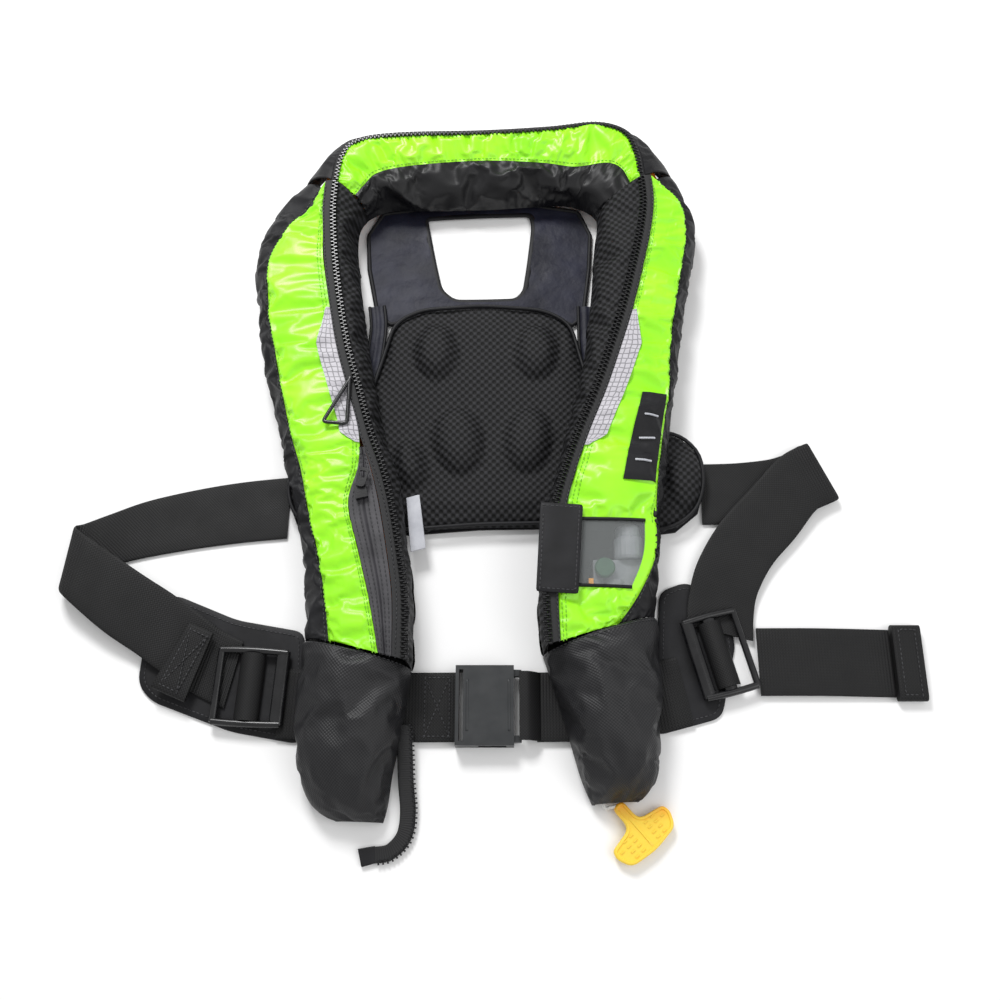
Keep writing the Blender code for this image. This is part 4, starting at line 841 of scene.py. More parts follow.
def inset(outline, gap):
    """A closed outline moved inward by a gap."""
    ahead = np.roll(outline, -1, axis=0) - np.roll(outline, 1, axis=0)
    ahead /= np.maximum(np.linalg.norm(ahead, axis=1, keepdims=True), 1e-9)
    normal = np.stack([-ahead[:, 1], ahead[:, 0]], axis=1)
    x, y = outline.T
    area = np.sum(x * np.roll(y, -1) - y * np.roll(x, -1))
    return outline + normal * gap * (1 if area > 0 else -1)


def lofted(name, outline, levels, finish, count, warp=None):
    """A solid from one outline at rising levels. A level is (inset, z); its ends are filled with
    rings that shrink to the middle, so that warp can shape them."""
    base = resampled(np.asarray(outline, dtype=float), count)
    centre = base.mean(axis=0)
    first, last = inset(base, levels[0][0]), inset(base, levels[-1][0])
    shares = np.linspace(0.08, 1, END_RINGS)
    loops = [(centre + (first - centre) * share, levels[0][1]) for share in shares[:-1]]
    loops += [(inset(base, gap), z) for gap, z in levels]
    loops += [(centre + (last - centre) * share, levels[-1][1]) for share in shares[-2::-1]]
    made = skinned(name, loops, warp or (lambda x, y, z: z), finish)
    made.data.set_sharp_from_angle(angle=math.radians(50))
    return made


def carried(name, finish, bevel=0.0):
    """A CAD node that keeps its shape and gets a real finish, and where asked softer edges."""
    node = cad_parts[name]
    if not node.material_slots:
        node.data.materials.append(FINISH[finish])
    for place in node.material_slots:
        place.material = FINISH[finish]
    if bevel:
        step = node.modifiers.new("soft_edges", "BEVEL")
        step.width = bevel
        step.segments = 3
        step.limit_method = "ANGLE"
        step.angle_limit = math.radians(35)
    return node


# ---------------------------------------------------------------- lobes


def lobe_places(stations, foot_y=None, top_y=None, pitch=CELL):
    first = 0.0 if foot_y is None else place_at_y(stations, 3, foot_y)
    last = 1.0 if top_y is None else place_at_y(stations, 3, top_y)
    count = max(6, int((last - first) * 0.43 / pitch))
    return np.linspace(first, last, count + 1)


def side_panels():
    for side, stations in SIDES:
        tops = lobe_grid(stations, lobe_height, lobe_places(stations), 0.0, 1.0, 14, tight_start)
        tops = wrinkled(tops, 0.0016, (0.030, 0.040), 3 if side == "left" else 5, True)
        tops = finer(simulated(tops, 0.05, cap=0.0035, bending=0.3))

        def hollow(place, side=side):
            return place > TURN_START or (side == "right" and place < BOTTLE_END)

        piece = cloth_piece(f"{side}_side_cloth", tops, "shell", ROLL_SHEET, True, hollow)
        put(piece, "root", "black_shell", f"{side}_side_panel")
        line = grid_line(tops, tops.shape[1] - 3)
        stitches(f"{side}_side_stitches", [line], "thread", "black_shell")


COVERS = []  # the finished front covers, for what is sewn onto them


def on_covers(x, y, planned):
    """Height of the front covers at a plan point, or the planned height beside them."""
    heights = [planned]
    for tree in COVERS:
        spot = tree.ray_cast(Vector((x, y, 0.2)), Vector((0, 0, -1)))[0]
        if spot is not None:
            heights.append(spot.z)
    return max(heights)


def cover(name, stations, places, columns, node, seed):
    plain = lobe_grid(stations, lobe_height, places, 1.0, 2.0, columns)
    tops = wrinkled(plain, 0.0013, (0.016, 0.050), seed, True)
    tops = finer(simulated(tops, 0.05, cap=0.0035, bending=0.25))
    stretched(name, tops, "lime", CLOTH, "lime_cover", node)
    points = [tuple(point) for point in tops.reshape(-1, 3)]
    COVERS.append(BVHTree.FromPolygons(points, grid_faces(*tops.shape[:2])))
    last = tops.shape[1] - 1
    lines = [grid_line(tops, last * share) for share in (0.90, 0.95, 0.05)]
    stitches(f"{name}_stitches", lines, "lime_thread", "lime_cover")


def front_covers():
    cover("left_lime", LEFT_STATIONS, lobe_places(LEFT_STATIONS), 18, "left_front_cover", 1)
    places = lobe_places(RIGHT_STATIONS, WINDOW_TOP_Y)
    cover("right_lime", RIGHT_STATIONS, places, 24, "right_front_cover", 2)
    places = lobe_places(RIGHT_STATIONS, None, WINDOW_FOOT_Y)
    cover("right_lower_lime", RIGHT_STATIONS, places, 24, "right_lower_cover", 4)


def window():
    places = lobe_places(RIGHT_STATIONS, WINDOW_FOOT_Y, WINDOW_TOP_Y)
    strip = 1.13  # column where the film starts, beside a strip of the cover
    plain = lobe_grid(RIGHT_STATIONS, lobe_height, places, strip, 2.0, 22)
    film = wrinkled(plain, 0.0006, (0.03, 0.03), 8)
    stretched("window_film", film, "film", 0.0007, "window", "window_panel")
    edge = lobe_grid(RIGHT_STATIONS, lobe_height, places, 1.0, strip, 6)
    edge = finer(wrinkled(edge, 0.0006, (0.012, 0.02), 9))
    put(cloth_piece("window_lime_strip", edge, "lime", CLOTH), "root", "lime_cover", "window_panel")
    for word, row in (("top", film[-1]), ("foot", film[0])):
        line = follow(row + np.array([0, 0, 0.0004]), 0.002)
        put(tube(f"window_{word}_piping", line, 0.0013, "shell"), "root", "black_shell")


TAPE_THICK = 0.0018
TAPE_LIFT = 0.0006  # of a burst zip's tape over the lobe's crest
TAPE_BOW = 0.0004
TAPE_SEAM = 0.12  # columns from the tape's outer edge to its stitches
TEETH_LIFT = 0.0024


def zips():
    for side, stations in SIDES:
        places = lobe_places(stations)

        def tape_edge(place, stations=stations):
            return zip_column(stations, place)

        def level(point, column):
            return LOBE_CREST + TAPE_LIFT + TAPE_BOW * math.sin(math.pi * (column - 2))

        tops = lobe_grid(stations, level, places, tape_edge, 3.0, 4)
        put(cloth_piece(f"{side}_zip_tape", tops, "tape", TAPE_THICK), "root", "zip", f"{side}_burst_zip")
        line = [(*station(stations, p, 3.0), LOBE_CREST + TEETH_LIFT) for p in places]
        teeth_along(f"{side}_zip_teeth", line)
        outer = [station(stations, p, zip_column(stations, p) + TAPE_SEAM) for p in places]
        line = [(*point, LOBE_CREST + 0.0014) for point in outer]
        stitches(f"{side}_tape_stitches", [line], "thread", "zip")
    line = [(*catmull(COLLAR_STATIONS[:, 1], p), LOBE_CREST + 0.0020) for p in np.linspace(0, 1, 160)]
    teeth_along("collar_zip_teeth", line, width=0.0042, tall=0.0016)
    rows = []
    for place in np.linspace(0, 1, 120):
        crest, back = catmull(COLLAR_STATIONS[:, 1], place), catmull(COLLAR_STATIONS[:, 0], place)
        step = (back - crest) / np.linalg.norm(back - crest)
        row = [(*(crest + step * COLLAR_TAPE * s), LOBE_CREST + 0.0008 - 0.002 * s) for s in (1, 0.5, 0)]
        rows.append(row)
    tops = np.array(rows)
    put(cloth_piece("collar_zip_tape", tops, "tape", TAPE_THICK), "root", "zip", "collar_burst_zip")


def inspection_zip():
    places = lobe_places(LEFT_STATIONS, None, INSPECTION_TOP)

    def edge(place):
        return zip_column(LEFT_STATIONS, place) - 0.02

    plain = lobe_grid(LEFT_STATIONS, lambda point, column: ZIP_LEVEL - 0.0002, places, 2.02, edge, 16)
    tops = plain.copy()
    across = np.linspace(-1, 1, tops.shape[1])
    # Two flaps of tape meet over the covered coil in a low double ridge.
    ridge = 0.0007 * np.exp(-((np.abs(across) - 0.16) / 0.12) ** 2)
    gap = 0.0005 * np.exp(-(across / 0.05) ** 2)
    tops[..., 2] += (ridge - gap)[None, :]
    tops = finer(wrinkled(tops, 0.0004, (0.02, 0.02), 12))
    stretched("inspection_zip_cloth", tops, "taped", 0.0020, "taped_zip", "inspection_zip_panel")
    last = tops.shape[1] - 1
    lines = [grid_line(tops, last * share) for share in (0.14, 0.34, 0.66, 0.86)]
    stitches("inspection_zip_stitches", lines, "thread", "taped_zip", radius=0.00025)


def mesh_linings():
    for side, stations in SIDES:
        places = lobe_places(stations)
        tops = lobe_grid(stations, lobe_height, places, 3.0, 4.0, 12, tight_end)
        tops = wrinkled(tops, 0.0012, (0.040, 0.02), 21 if side == "left" else 22)
        tops = finer(simulated(tops, 0.02, cap=0.0025, bending=2))
        piece = cloth_piece(f"{side}_mesh_cloth", tops, "mesh", ROLL_SHEET, True, lambda p: p > TURN_START)
        put(piece, "root", "black_mesh", f"{side}_mesh_lining")


# ---------------------------------------------------------------- collar


def collar():
    places = np.linspace(0, 1, 140)

    def tape(place):
        crest, back = catmull(COLLAR_STATIONS[:, 1], place), catmull(COLLAR_STATIONS[:, 0], place)
        return 1 - COLLAR_TAPE / np.linalg.norm(back - crest)

    plain = lobe_grid(COLLAR_STATIONS, collar_height, places, 0.0, tape, 12, tight_start)
    tops = finer(simulated(wrinkled(plain, 0.0014, (0.03, 0.02), 31), 0.03, cap=0.003))
    stretched("collar_back_cloth", tops, "shell", ROLL_SHEET, "black_shell", "collar_back_cover")

    plain = lobe_grid(COLLAR_STATIONS, collar_height, places, 1.0, 2.0, 12)
    tops = wrinkled(plain, 0.0022, (0.014, 0.05), 33, True)
    tops = finer(simulated(tops, 0.07, cap=0.004, bending=0.2))
    stretched("collar_lime", tops, "lime", CLOTH, "lime_cover", "collar_cover")
    last = tops.shape[1] - 1
    lines = [grid_line(tops, last * share) for share in (0.05, 0.93)]
    stitches("collar_lime_stitches", lines, "lime_thread", "lime_cover")

    tops = lobe_grid(COLLAR_STATIONS, collar_height, places, 2.0, 3.0, 16, tight_end)
    tops = wrinkled(tops, 0.0026, (0.045, 0.025), 35, True)
    tops = finer(simulated(tops, 0.05, cap=0.005, bending=0.6))
    piece = cloth_piece("collar_lining_cloth", tops, "soft", ROLL_SHEET)
    put(piece, "root", "black_shell", "collar_lining")


# ---------------------------------------------------------------- back pad, yoke and binding

PAD_TOP_EDGE = mm([(74, 150), (52, 163), (0, 167), (-50, 163), (-72, 150)])
PAD_REST = mm(
    [(-78, 125), (-90, 82), (-118, 54), (-144, 34), (-150, 2), (-140, -22), (-108, -31), (-50, -29),
     (0, -25), (60, -24), (120, -31), (150, -27), (168, -12), (175, 12), (172, 36), (158, 51),
     (135, 56), (108, 60), (90, 84), (80, 125)]
)
NECK_OPENING = mm([(-47, 254), (41, 258), (43, 246), (35, 185), (28, 177), (-22, 176), (-33, 186)])
YOKE_SIDES = mm(
    [(-85, 160), (-94, 205), (-96, 238), (-84, 260), (-40, 266), (0, 267), (45, 268), (82, 262),
     (92, 238), (90, 205), (84, 160)]
)
PODS = (
    (-36, 122, 16, 24, 0), (44, 122, 16, 24, 0), (-17, 44, 18, 27, 8), (37, 45, 17, 26, -6),
    (-54, 24, 11, 20, 12), (159, 12, 13, 25, -8),
)


def pod_rise(x, y):
    """How far the moulded pods stand over the pad, with a stitched ditch round each."""
    best = 0.0
    for px, py, wide, tall, turn in PODS:
        angle = math.radians(turn)
        dx, dy = x * 1000 - px, y * 1000 - py
        along = (dx * math.cos(angle) + dy * math.sin(angle)) / wide
        up = (-dx * math.sin(angle) + dy * math.cos(angle)) / tall
        reach = math.hypot(along, up)
        if reach < 1:
            best = max(best, POD_RISE * math.sqrt(1 - reach ** 2.6))
        elif reach < 1.25 and best <= 0:
            best = min(best, -0.0022 * (1 - (reach - 1) / 0.25))
    return best


def depth_inside(outline, x, y):
    """Distance from a point to an outline, negative outside it."""
    after = np.roll(outline, -1, axis=0)
    side = after - outline
    spot = np.array([x, y])
    t = np.clip(np.sum((spot - outline) * side, axis=1) / np.sum(side * side, axis=1), 0, 1)
    away = np.linalg.norm(outline + side * t[:, None] - spot, axis=1).min()
    spans = (outline[:, 1] > y) != (after[:, 1] > y)
    crossing = side[:, 0] * (y - outline[:, 1]) / (side[:, 1] + 1e-15) + outline[:, 0]
    return away if (spans & (x < crossing)).sum() % 2 else -away


def back_pad():
    outline = resampled(fillet(np.concatenate([PAD_TOP_EDGE, PAD_REST]), 0.012), 150)

    def swell(x, y, z):
        if z < PAD_TOP - 0.0015:
            return z
        depth = depth_inside(outline, x, y)
        soft = 0.0010 * noise.noise(Vector((x / 0.03, y / 0.03, 4.0)))
        return z + pod_rise(x, y) * min(1.0, max(depth, 0) / 0.006) + soft

    centre = np.array([0.0, 0.06])
    base = PAD_BASE + GAP
    rings = [(0.0, base), (0.0, base + 0.004), (0.0012, PAD_TOP - 0.0035), (0.0035, PAD_TOP - 0.0008)]
    loops = [(centre + (outline - centre) * s, base) for s in np.linspace(0.02, 0.98, 8)]
    loops += [(inset(outline, gap), z) for gap, z in rings]
    inner = inset(outline, 0.006)
    loops += [(centre + (inner - centre) * s, PAD_TOP) for s in np.linspace(1, 0.015, 75)]
    pad = puffed(skinned("back_pad_cloth", loops, swell, "mesh"), 0.0022)
    put(pad, "root", "black_mesh", "back_pad_mesh")
    line = [(*point, PAD_TOP - 0.0008) for point in inset(outline, 0.0016)]
    put(tube("back_pad_piping", line, 0.0016, "shell", closed=True), "root", "black_shell")


PAD_VOXEL = 0.004
PAD_PRESSURE = 4.0


def puffed(piece, cap):
    """The closed piece remeshed and swelled by Cloth under pressure, then capped and smoothed."""
    remesh = piece.modifiers.new("remesh", "REMESH")
    remesh.mode = "VOXEL"
    remesh.voxel_size = PAD_VOXEL
    graph = bpy.context.evaluated_depsgraph_get()
    mesh = bpy.data.meshes.new_from_object(piece.evaluated_get(graph))
    piece.modifiers.remove(remesh)
    piece.data = mesh
    rest = np.empty(len(mesh.vertices) * 3)
    mesh.vertices.foreach_get("co", rest)
    rest = rest.reshape(-1, 3)
    group = piece.vertex_groups.new(name="base")
    group.add([int(i) for i in np.flatnonzero(rest[:, 2] < 0.006)], 1.0, "REPLACE")
    cloth = piece.modifiers.new("cloth", "CLOTH")
    cloth.settings.vertex_group_mass = "base"
    cloth.settings.use_pressure = True
    cloth.settings.uniform_pressure_force = PAD_PRESSURE
    cloth.settings.effector_weights.gravity = 0
    result = after_cloth(piece)
    piece.modifiers.remove(cloth)
    piece.vertex_groups.clear()
    final = capped(rest, result, cap)
    final[:, 2] = np.maximum(final[:, 2], PAD_BASE + GAP)
    mesh.vertices.foreach_set("co", final.ravel())
    smooth = piece.modifiers.new("smooth", "SUBSURF")
    smooth.levels = smooth.render_levels = 1
    mesh.shade_smooth()
    if not mesh.materials:
        mesh.materials.append(FINISH["mesh"])
    return piece


def ray_reach(outline, centre, angle):
    ray = np.array([math.cos(angle), math.sin(angle)])
    best = 0.0
    for first, second in zip(outline, np.roll(outline, -1, axis=0)):
        side = second - first
        matrix = np.array([ray, -side]).T
        if abs(np.linalg.det(matrix)) < 1e-12:
            continue
        reach, along = np.linalg.solve(matrix, first - centre)
        if 0 <= along <= 1:
            best = max(best, reach)
    return best


def yoke():
    centre = np.array([0.0, 0.215])
    outer = np.concatenate([PAD_TOP_EDGE + np.array([0.0, 0.0015]), YOKE_SIDES])
    hole = fillet(NECK_OPENING, 0.006)
    width = 0.005
    rows, flat, bind, rim = [], [], [], []
    for angle in np.linspace(0, 2 * math.pi, 181):
        ray = np.array([math.cos(angle), math.sin(angle)])
        near = ray_reach(hole, centre, angle)
        far = max(ray_reach(outer, centre, angle), near + width + 0.002)
        # The fabric starts under the neck binding and ends at the yoke's outline.
        reach = np.linspace(near + width * 0.6, far, 22)
        row, level = [], []
        for r in reach:
            x, y = centre + ray * r
            level.append((x, y, GAP + BIND + 0.0006))
            ripple = noise.noise(Vector((x / 0.05, y / 0.012, 2.0))) * 0.0012
            row.append((x, y, GAP + BIND + ripple + 0.0006))
        rows.append(row)
        flat.append(level)
        rim.append((*(centre + ray * far), GAP + BIND * 0.9))
        bind.append((*(centre + ray * (near + width * 0.45)), GAP + BIND * 0.8))
    tops = np.array(rows)
    piece = put(cloth_piece("yoke_cloth", tops, "navy", 0.0018), "root", "navy_lining", "back_yoke")
    put(tube("yoke_binding", np.array(rim[:-1]), 0.0020, "shell", closed=True), "root", "black_shell")
    yoke_straps()
    line = np.array(bind[:-1])
    piece = tube("neck_binding_cloth", line, width * 0.5, "shell", sides=10, flat=0.42, closed=True)
    put(piece, "root", "black_shell", "neck_binding")


YOKE_STRAPS = (
    ("left", mm([(-86, 168), (-84, 150), (-85, 132), (-87, 116), (-90, 100)])),
    ("right", mm([(86, 168), (86, 152), (86, 136), (87, 120), (88, 104)])),
)
YOKE_STRAP_HALF = 0.006
YOKE_STRAP_LEVEL = 0.0055


def yoke_straps():
    """Narrow straps of the same cloth, from the yoke down both sides of the pad."""
    for side, route in YOKE_STRAPS:
        middle = np.array([catmull(route, p) for p in np.linspace(0, 1, 60)])
        cross = np.gradient(middle, axis=0)[:, ::-1] * (1, -1)
        cross /= np.linalg.norm(cross, axis=1, keepdims=True)

        def beside(share, level, middle=middle, cross=cross):
            return [(*spot, level) for spot in middle + cross * share * YOKE_STRAP_HALF]

        shares = np.linspace(-1, 1, 9)
        strip = np.array([beside(share, YOKE_STRAP_LEVEL + 0.0004 * math.cos(share * 6)) for share in shares])
        strip = np.swapaxes(strip, 0, 1)
        put(cloth_piece(f"{side}_yoke_strap", strip, "navy", 0.0016), "root", "navy_lining")
        for share in (-1, 1):
            edge = tube(f"{side}_yoke_edge_{share + 1}", beside(share, 0.0052), 0.0014, "shell")
            put(edge, "root", "black_shell")


# ---------------------------------------------------------------- pockets

LEFT_POCKET = (
    ((-127, -116.5), (-48.5, -136.5), 43), ((-129, -145), (-51, -155), 42),
    ((-129, -178), (-55, -182), 39), ((-125, -206), (-60, -208), 33),
    ((-115, -228), (-63, -229), 22), ((-98, -240), (-66, -241), 9),
)
RIGHT_POCKET = (
    ((47, -125.5), (130, -98.5), 43), ((55, -150), (132, -140), 43), ((62, -174), (130, -170), 42),
    ((68, -196), (128, -195), 38), ((73, -213), (124, -213), 28), ((80, -229), (112, -227), 12),
)
POCKET_WALL = 0.0018


def pocket(name, rows, node, seed):
    table = np.array([(*left, *right, crest) for left, right, crest in rows]) * 0.001
    tops = []
    shares = (1 - np.cos(np.linspace(0, math.pi, 31))) / 2
    angles = np.linspace(0, math.pi, 31)
    for place in np.linspace(0, 1, 46):
        row = catmull(table, place)
        left, right, crest = row[:2], row[2:4], row[4]
        line = []
        for share, angle in zip(shares, angles):
            x, y = left + (right - left) * share
            base = lying_on(x, y) + POCKET_WALL
            line.append((x, y, base + max(crest - base, 0) * max(math.sin(angle), 0) ** 0.7))
        tops.append(line)
    tops = wrinkled(np.array(tops), 0.0030, (0.045, 0.022), seed, True, edge=4)
    tops = finer(simulated(tops, 0.04, cap=0.004, bending=0.6))
    normals = grid_normals(tops)
    bottoms = tops - normals * POCKET_WALL
    bottoms[..., 2] = np.maximum(bottoms[..., 2], GAP)
    piece = put(shell(name, tops, bottoms, "pocket"), "root", "pocket_fabric", node)
    hem = tops[2, 3:-3] + np.array([0, 0, THREAD_LIFT])
    stitches(f"{name}_hem", [hem], "thread", "pocket_fabric")


# ---------------------------------------------------------------- webbing

WEB_RIB = 0.00016


def ribbon(name, rows, finish, slot, body, *nodes, width=WEB_WIDTH, thick=WEB, rib=0.0022):
    """Webbing along a route of x, y, z of its underside and the plan angle of its width."""
    rows = np.array(rows, dtype=float)
    coarse = np.array([catmull(rows, p)[:3] * 0.001 for p in np.linspace(0, 1, 60)])
    samples = max(8, int(run_along(coarse)[-1] / (rib / 4)))
    route = np.array([catmull(rows, p) for p in np.linspace(0, 1, samples + 1)])
    middles = route[:, :3] * 0.001
    run = run_along(middles)
    ahead = np.gradient(middles, axis=0)
    ahead /= np.linalg.norm(ahead, axis=1, keepdims=True)
    angle = np.radians(route[:, 3])
    across = np.stack([np.cos(angle), np.sin(angle), np.zeros_like(angle)], axis=1)
    up = np.cross(ahead, across)
    up /= np.linalg.norm(up, axis=1, keepdims=True)
    shares = np.array([-1, -0.97, -0.9, -0.6, -0.3, 0, 0.3, 0.6, 0.9, 0.97, 1])
    edge = np.array([0.30, 0.75, 1, 1, 1, 1, 1, 1, 1, 0.75, 0.30])
    half = thick / 2
    tops, bottoms = [], []
    for index in range(samples + 1):
        swell = half + WEB_RIB * math.cos(2 * math.pi * run[index] / rib)
        line = [middles[index] + across[index] * s * width / 2 for s in shares]
        tops.append([spot + up[index] * (half + swell * e) for spot, e in zip(line, edge)])
        bottoms.append([spot + up[index] * (half - swell * e) for spot, e in zip(line, edge)])
    tops, bottoms = np.array(tops), np.array(bottoms)
    for grid in (tops, bottoms):
        grid[..., 2] = np.maximum(grid[..., 2], 0.0001)
    piece = shell(name, tops, bottoms, finish)
    put(piece, body, slot, *nodes)
    return tops


def box_stitch(name, centre, turn, size, level, body="root", cross=True):
    """A sewn block: a rectangle of stitches with a cross in it."""
    angle = math.radians(turn)
    ahead = np.array([math.cos(angle), math.sin(angle)])
    side = np.array([-ahead[1], ahead[0]])
    half = np.array(size) / 2
    corners = [np.array(centre) + ahead * sx * half[0] + side * sy * half[1]
               for sx, sy in ((-1, -1), (1, -1), (1, 1), (-1, 1), (-1, -1))]
    lines = [np.array([(*point, level) for point in corners])]
    if cross:
        lines.append(np.array([(*corners[0], level), (*corners[2], level)]))
        lines.append(np.array([(*corners[1], level), (*corners[3], level)]))
    return stitches(name, lines, "thread", "webbing", body, radius=0.00035)


BELT_Y = -160.5  # in millimetres, as the routes of webbing are


def harness():
    level = WEB_LEVEL * 1000
    left = [(-147.5, -7, 2.4, 90), (-185, -11, 2.4, 88), (-222, -17, 2.4, 83), (-262, -26, 2.4, 78),
            (-291, -37, 2.9, 76), (-306, -46, 6.0, 80), (-308, -51, 12, 84), (-301, -58, 16.5, 82),
            (-285, -70, 15, 76), (-262, -86, 12, 66), (-238, -101, 8, 62), (-212, -119, 5, 68),
            (-196, -129, level, 74), (-179, -137, level, 78)]
    ribbon("left_strap_web", left, "web", "webbing", "root", "left_strap")
    fold = [(-224, -124, 10.0, 64), (-203, -133, 8.2, 72)]
    ribbon("left_strap_fold", fold, "web", "webbing", "root", "left_strap_end", width=0.053, thick=0.0045)
    fold = [(-12, 0.9), (-7, 0.9), (-3.9, 1.0), (-1.1, 2.1), (0, 4.9), (-1.1, 7.7), (-3.9, 8.8),
            (-7, 8.9), (-12, 8.9)]
    right = [(172, 4, 0.8, 88), (200, 5, 0.8, 88), (228, 8, 0.8, 97), (244, 12.3, 0.8, 109)]
    right += [(267.5 + 0.916 * along, 22.3 + 0.402 * along, z, 113.7) for along, z in fold]
    right += [(244, 9, 8.8, 119), (224, -14, 7.5, 130), (202, -38, 7.0, 138), (187, -63, 6.0, 149),
              (181, -83, 4.75, 159), (178, -106, 4.65, 166)]
    ribbon("right_strap_web", right, "web", "webbing", "root", "right_strap")
    tail = [(205, -127.5, level, 90), (250, -127.5, level, 90), (303, -128.5, level - 1, 90)]
    ribbon("right_tail_web", tail, "web", "webbing", "root", "right_strap_tail")
    fold = [(304, -128.5, 0.6, 90), (325, -128.5, 0.6, 90)]
    ribbon("right_tail_fold", fold, "web", "webbing", "root", "right_strap_end", width=0.056, thick=0.0075)
    box_stitch("left_fold_stitches", (-0.2135, -0.1285), 66, (0.044, 0.014), 0.0142)
    box_stitch("right_fold_stitches", (0.3145, -0.1285), 90, (0.048, 0.012), 0.0084, cross=False)
    inner_left, inner_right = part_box("front_belt_left")[1][0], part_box("front_belt_right")[0][0]
    belt = [(-144, BELT_Y + 3, level, 87), (-90, BELT_Y, level, 90), (inner_left * 1000, BELT_Y, level, 90)]
    ribbon("front_belt_left_web", belt, "web", "webbing", "buckle_female", "front_belt_left")
    belt = [(inner_right * 1000, BELT_Y, level, 90), (100, BELT_Y + 2, level, 92),
            (150, BELT_Y + 12, level, 102)]
    ribbon("front_belt_right_web", belt, "web", "webbing", "root", "front_belt_right")
    on_belt = (level + WEB * 1000) * 0.001 + THREAD_LIFT
    box_stitch("belt_stitches", (-0.030, BELT_Y * 0.001), 0, (0.018, 0.042), on_belt, "buckle_female")


def sleeves():
    left = mm([(-246, -86), (-229, -76), (-180, -96), (-129, -105), (-127, -187), (-178, -178),
               (-238, -156), (-249, -143)])
    right = mm([(135, -74), (157, -66), (178, -82), (190, -112), (176, -168), (127, -181)])
    for name, outline, node in (("left_sleeve_cloth", left, "left_belt_sleeve"),
                                ("right_sleeve_cloth", right, "right_belt_sleeve")):
        outline = fillet(outline, 0.008)

        def ripple(x, y, z):
            return z + (0.0003 * noise.noise(Vector((x / 0.012, y / 0.03, 1.5))) if z > 0.001 else 0)

        levels = [(0.0006, 0.0), (0.0, 0.0006), (0.0, SLEEVE - 0.0008), (0.0008, SLEEVE - 0.0003)]
        put(lofted(name, outline, levels, "shell", 120, ripple), "root", "black_shell", node)
        line = [(*point, SLEEVE - 0.0001) for point in inset(resampled(outline, 120), 0.004)]
        stitches(f"{name}_stitches", [np.array(line)], "thread", "black_shell")


# ---------------------------------------------------------------- adjusters and buckle


def turned(points, middle, angle):
    c, s = math.cos(angle), math.sin(angle)
    return [(middle[0] + x * c - y * s, middle[1] + x * s + y * c, z) for x, y, z in points]


def adjuster(side, middle, degrees, size, bars, body):
    """A ladder adjuster of three bars and two rails, with the webbing over its middle bar."""
    angle = math.radians(degrees)
    long, wide = size
    base = WEB_LEVEL + WEB + GAP
    rail = 0.0026
    pieces = []
    for sign in (-1, 1):
        edge = sign * (wide / 2 - rail)
        line = []
        for x in np.linspace(-long / 2 + rail, long / 2 - rail, 25):
            bow = math.sin(math.pi * (x / long + 0.5))
            line.append((x, edge + sign * 0.0008 * bow - sign * 0.0008, base + rail + 0.0006 * bow))
        pieces.append(tube(f"{side}_rail_{sign + 1}", turned(line, middle, angle), rail, "gloss", 12))
    for index, (share, width) in enumerate(bars):
        x = share * long
        line = [(x, y, base + 0.0024) for y in np.linspace(-wide / 2 + rail, wide / 2 - rail, 21)]
        pieces.append(tube(f"{side}_bar_{index}", turned(line, middle, angle), width / 2, "gloss", 16,
                           min(1.0, 0.0047 / width)))
    made = joined(f"{side}_adjuster_frame", pieces)
    put(made, body, "buckle_plastic", f"{side}_adjuster")
    # The webbing comes up through one slot, over the middle bar and down through the other.
    middle_x = bars[1][0] * long
    reach = bars[1][1] / 2 + 0.0035
    tops, lows = [], []
    for t in np.linspace(-1, 1, 25):
        x = middle_x + t * reach
        z = base + 0.0006 + 0.0062 * math.cos(t * math.pi / 2) ** 0.6
        line = [(x, y, z) for y in np.linspace(-0.0245, 0.0245, 12)]
        tops.append(turned(line, middle, angle))
        lows.append(turned([(a, b, c - 0.0015) for a, b, c in line], middle, angle))
    piece = shell(f"{side}_adjuster_web", np.array(tops), np.array(lows), "web")
    put(piece, body, "webbing", f"{side}_adjuster")


def joined(name, pieces):
    """Several meshes as one object."""
    shape = bmesh.new()
    for piece in pieces:
        shape.from_mesh(piece.data)
    mesh = bpy.data.meshes.new(name)
    shape.to_mesh(mesh)
    shape.free()
    mesh.materials.append(pieces[0].data.materials[0])
    for piece in pieces:
        bpy.data.objects.remove(piece, do_unlink=True)
    mesh.shade_smooth()
    mesh.set_sharp_from_angle(angle=math.radians(50))
    return placed(name, mesh)


def buckle():
    low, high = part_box("buckle_female")
    mid = (low[1] + high[1]) / 2
    half = (high[1] - low[1]) / 2
    carried("buckle_female", "plastic", 0.0012)
    # Raised rails frame the top face, as the moulding does beside the webbing slot.
    for index, x in enumerate((low[0] + 0.0085, high[0] - 0.0035)):
        line = [(x, y, high[2] - 0.0003) for y in np.linspace(mid - half + 0.010, mid + half - 0.010, 20)]
        rail = tube(f"buckle_rail_{index}", line, 0.0011, "plastic", 12, 0.6)
        put(rail, "buckle_female", "buckle_plastic")
    for word in ("upper", "lower"):
        carried(f"buckle_prong_{word}", "plastic", 0.0006)
    carried("buckle_male", "gloss", 0.0012)
    # The webbing lies over the male half's bar.
    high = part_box("buckle_male")[1]
    rows = []
    for t in np.linspace(0, 1, 14):
        x = high[0] - 0.0125 + 0.0155 * t
        z = high[2] + 0.0004 - 0.0085 * max(0.0, (t - 0.35) / 0.65) ** 1.5
        rows.append([(x, y, z) for y in np.linspace(mid - 0.0245, mid + 0.0245, 14)])
    tops = np.array(rows)
    lows = tops - np.array([0, 0, 0.0018])
    put(shell("male_half_web", tops, lows, "web"), "root", "webbing", "buckle_male")


# ---------------------------------------------------------------- toggle, cord and trims


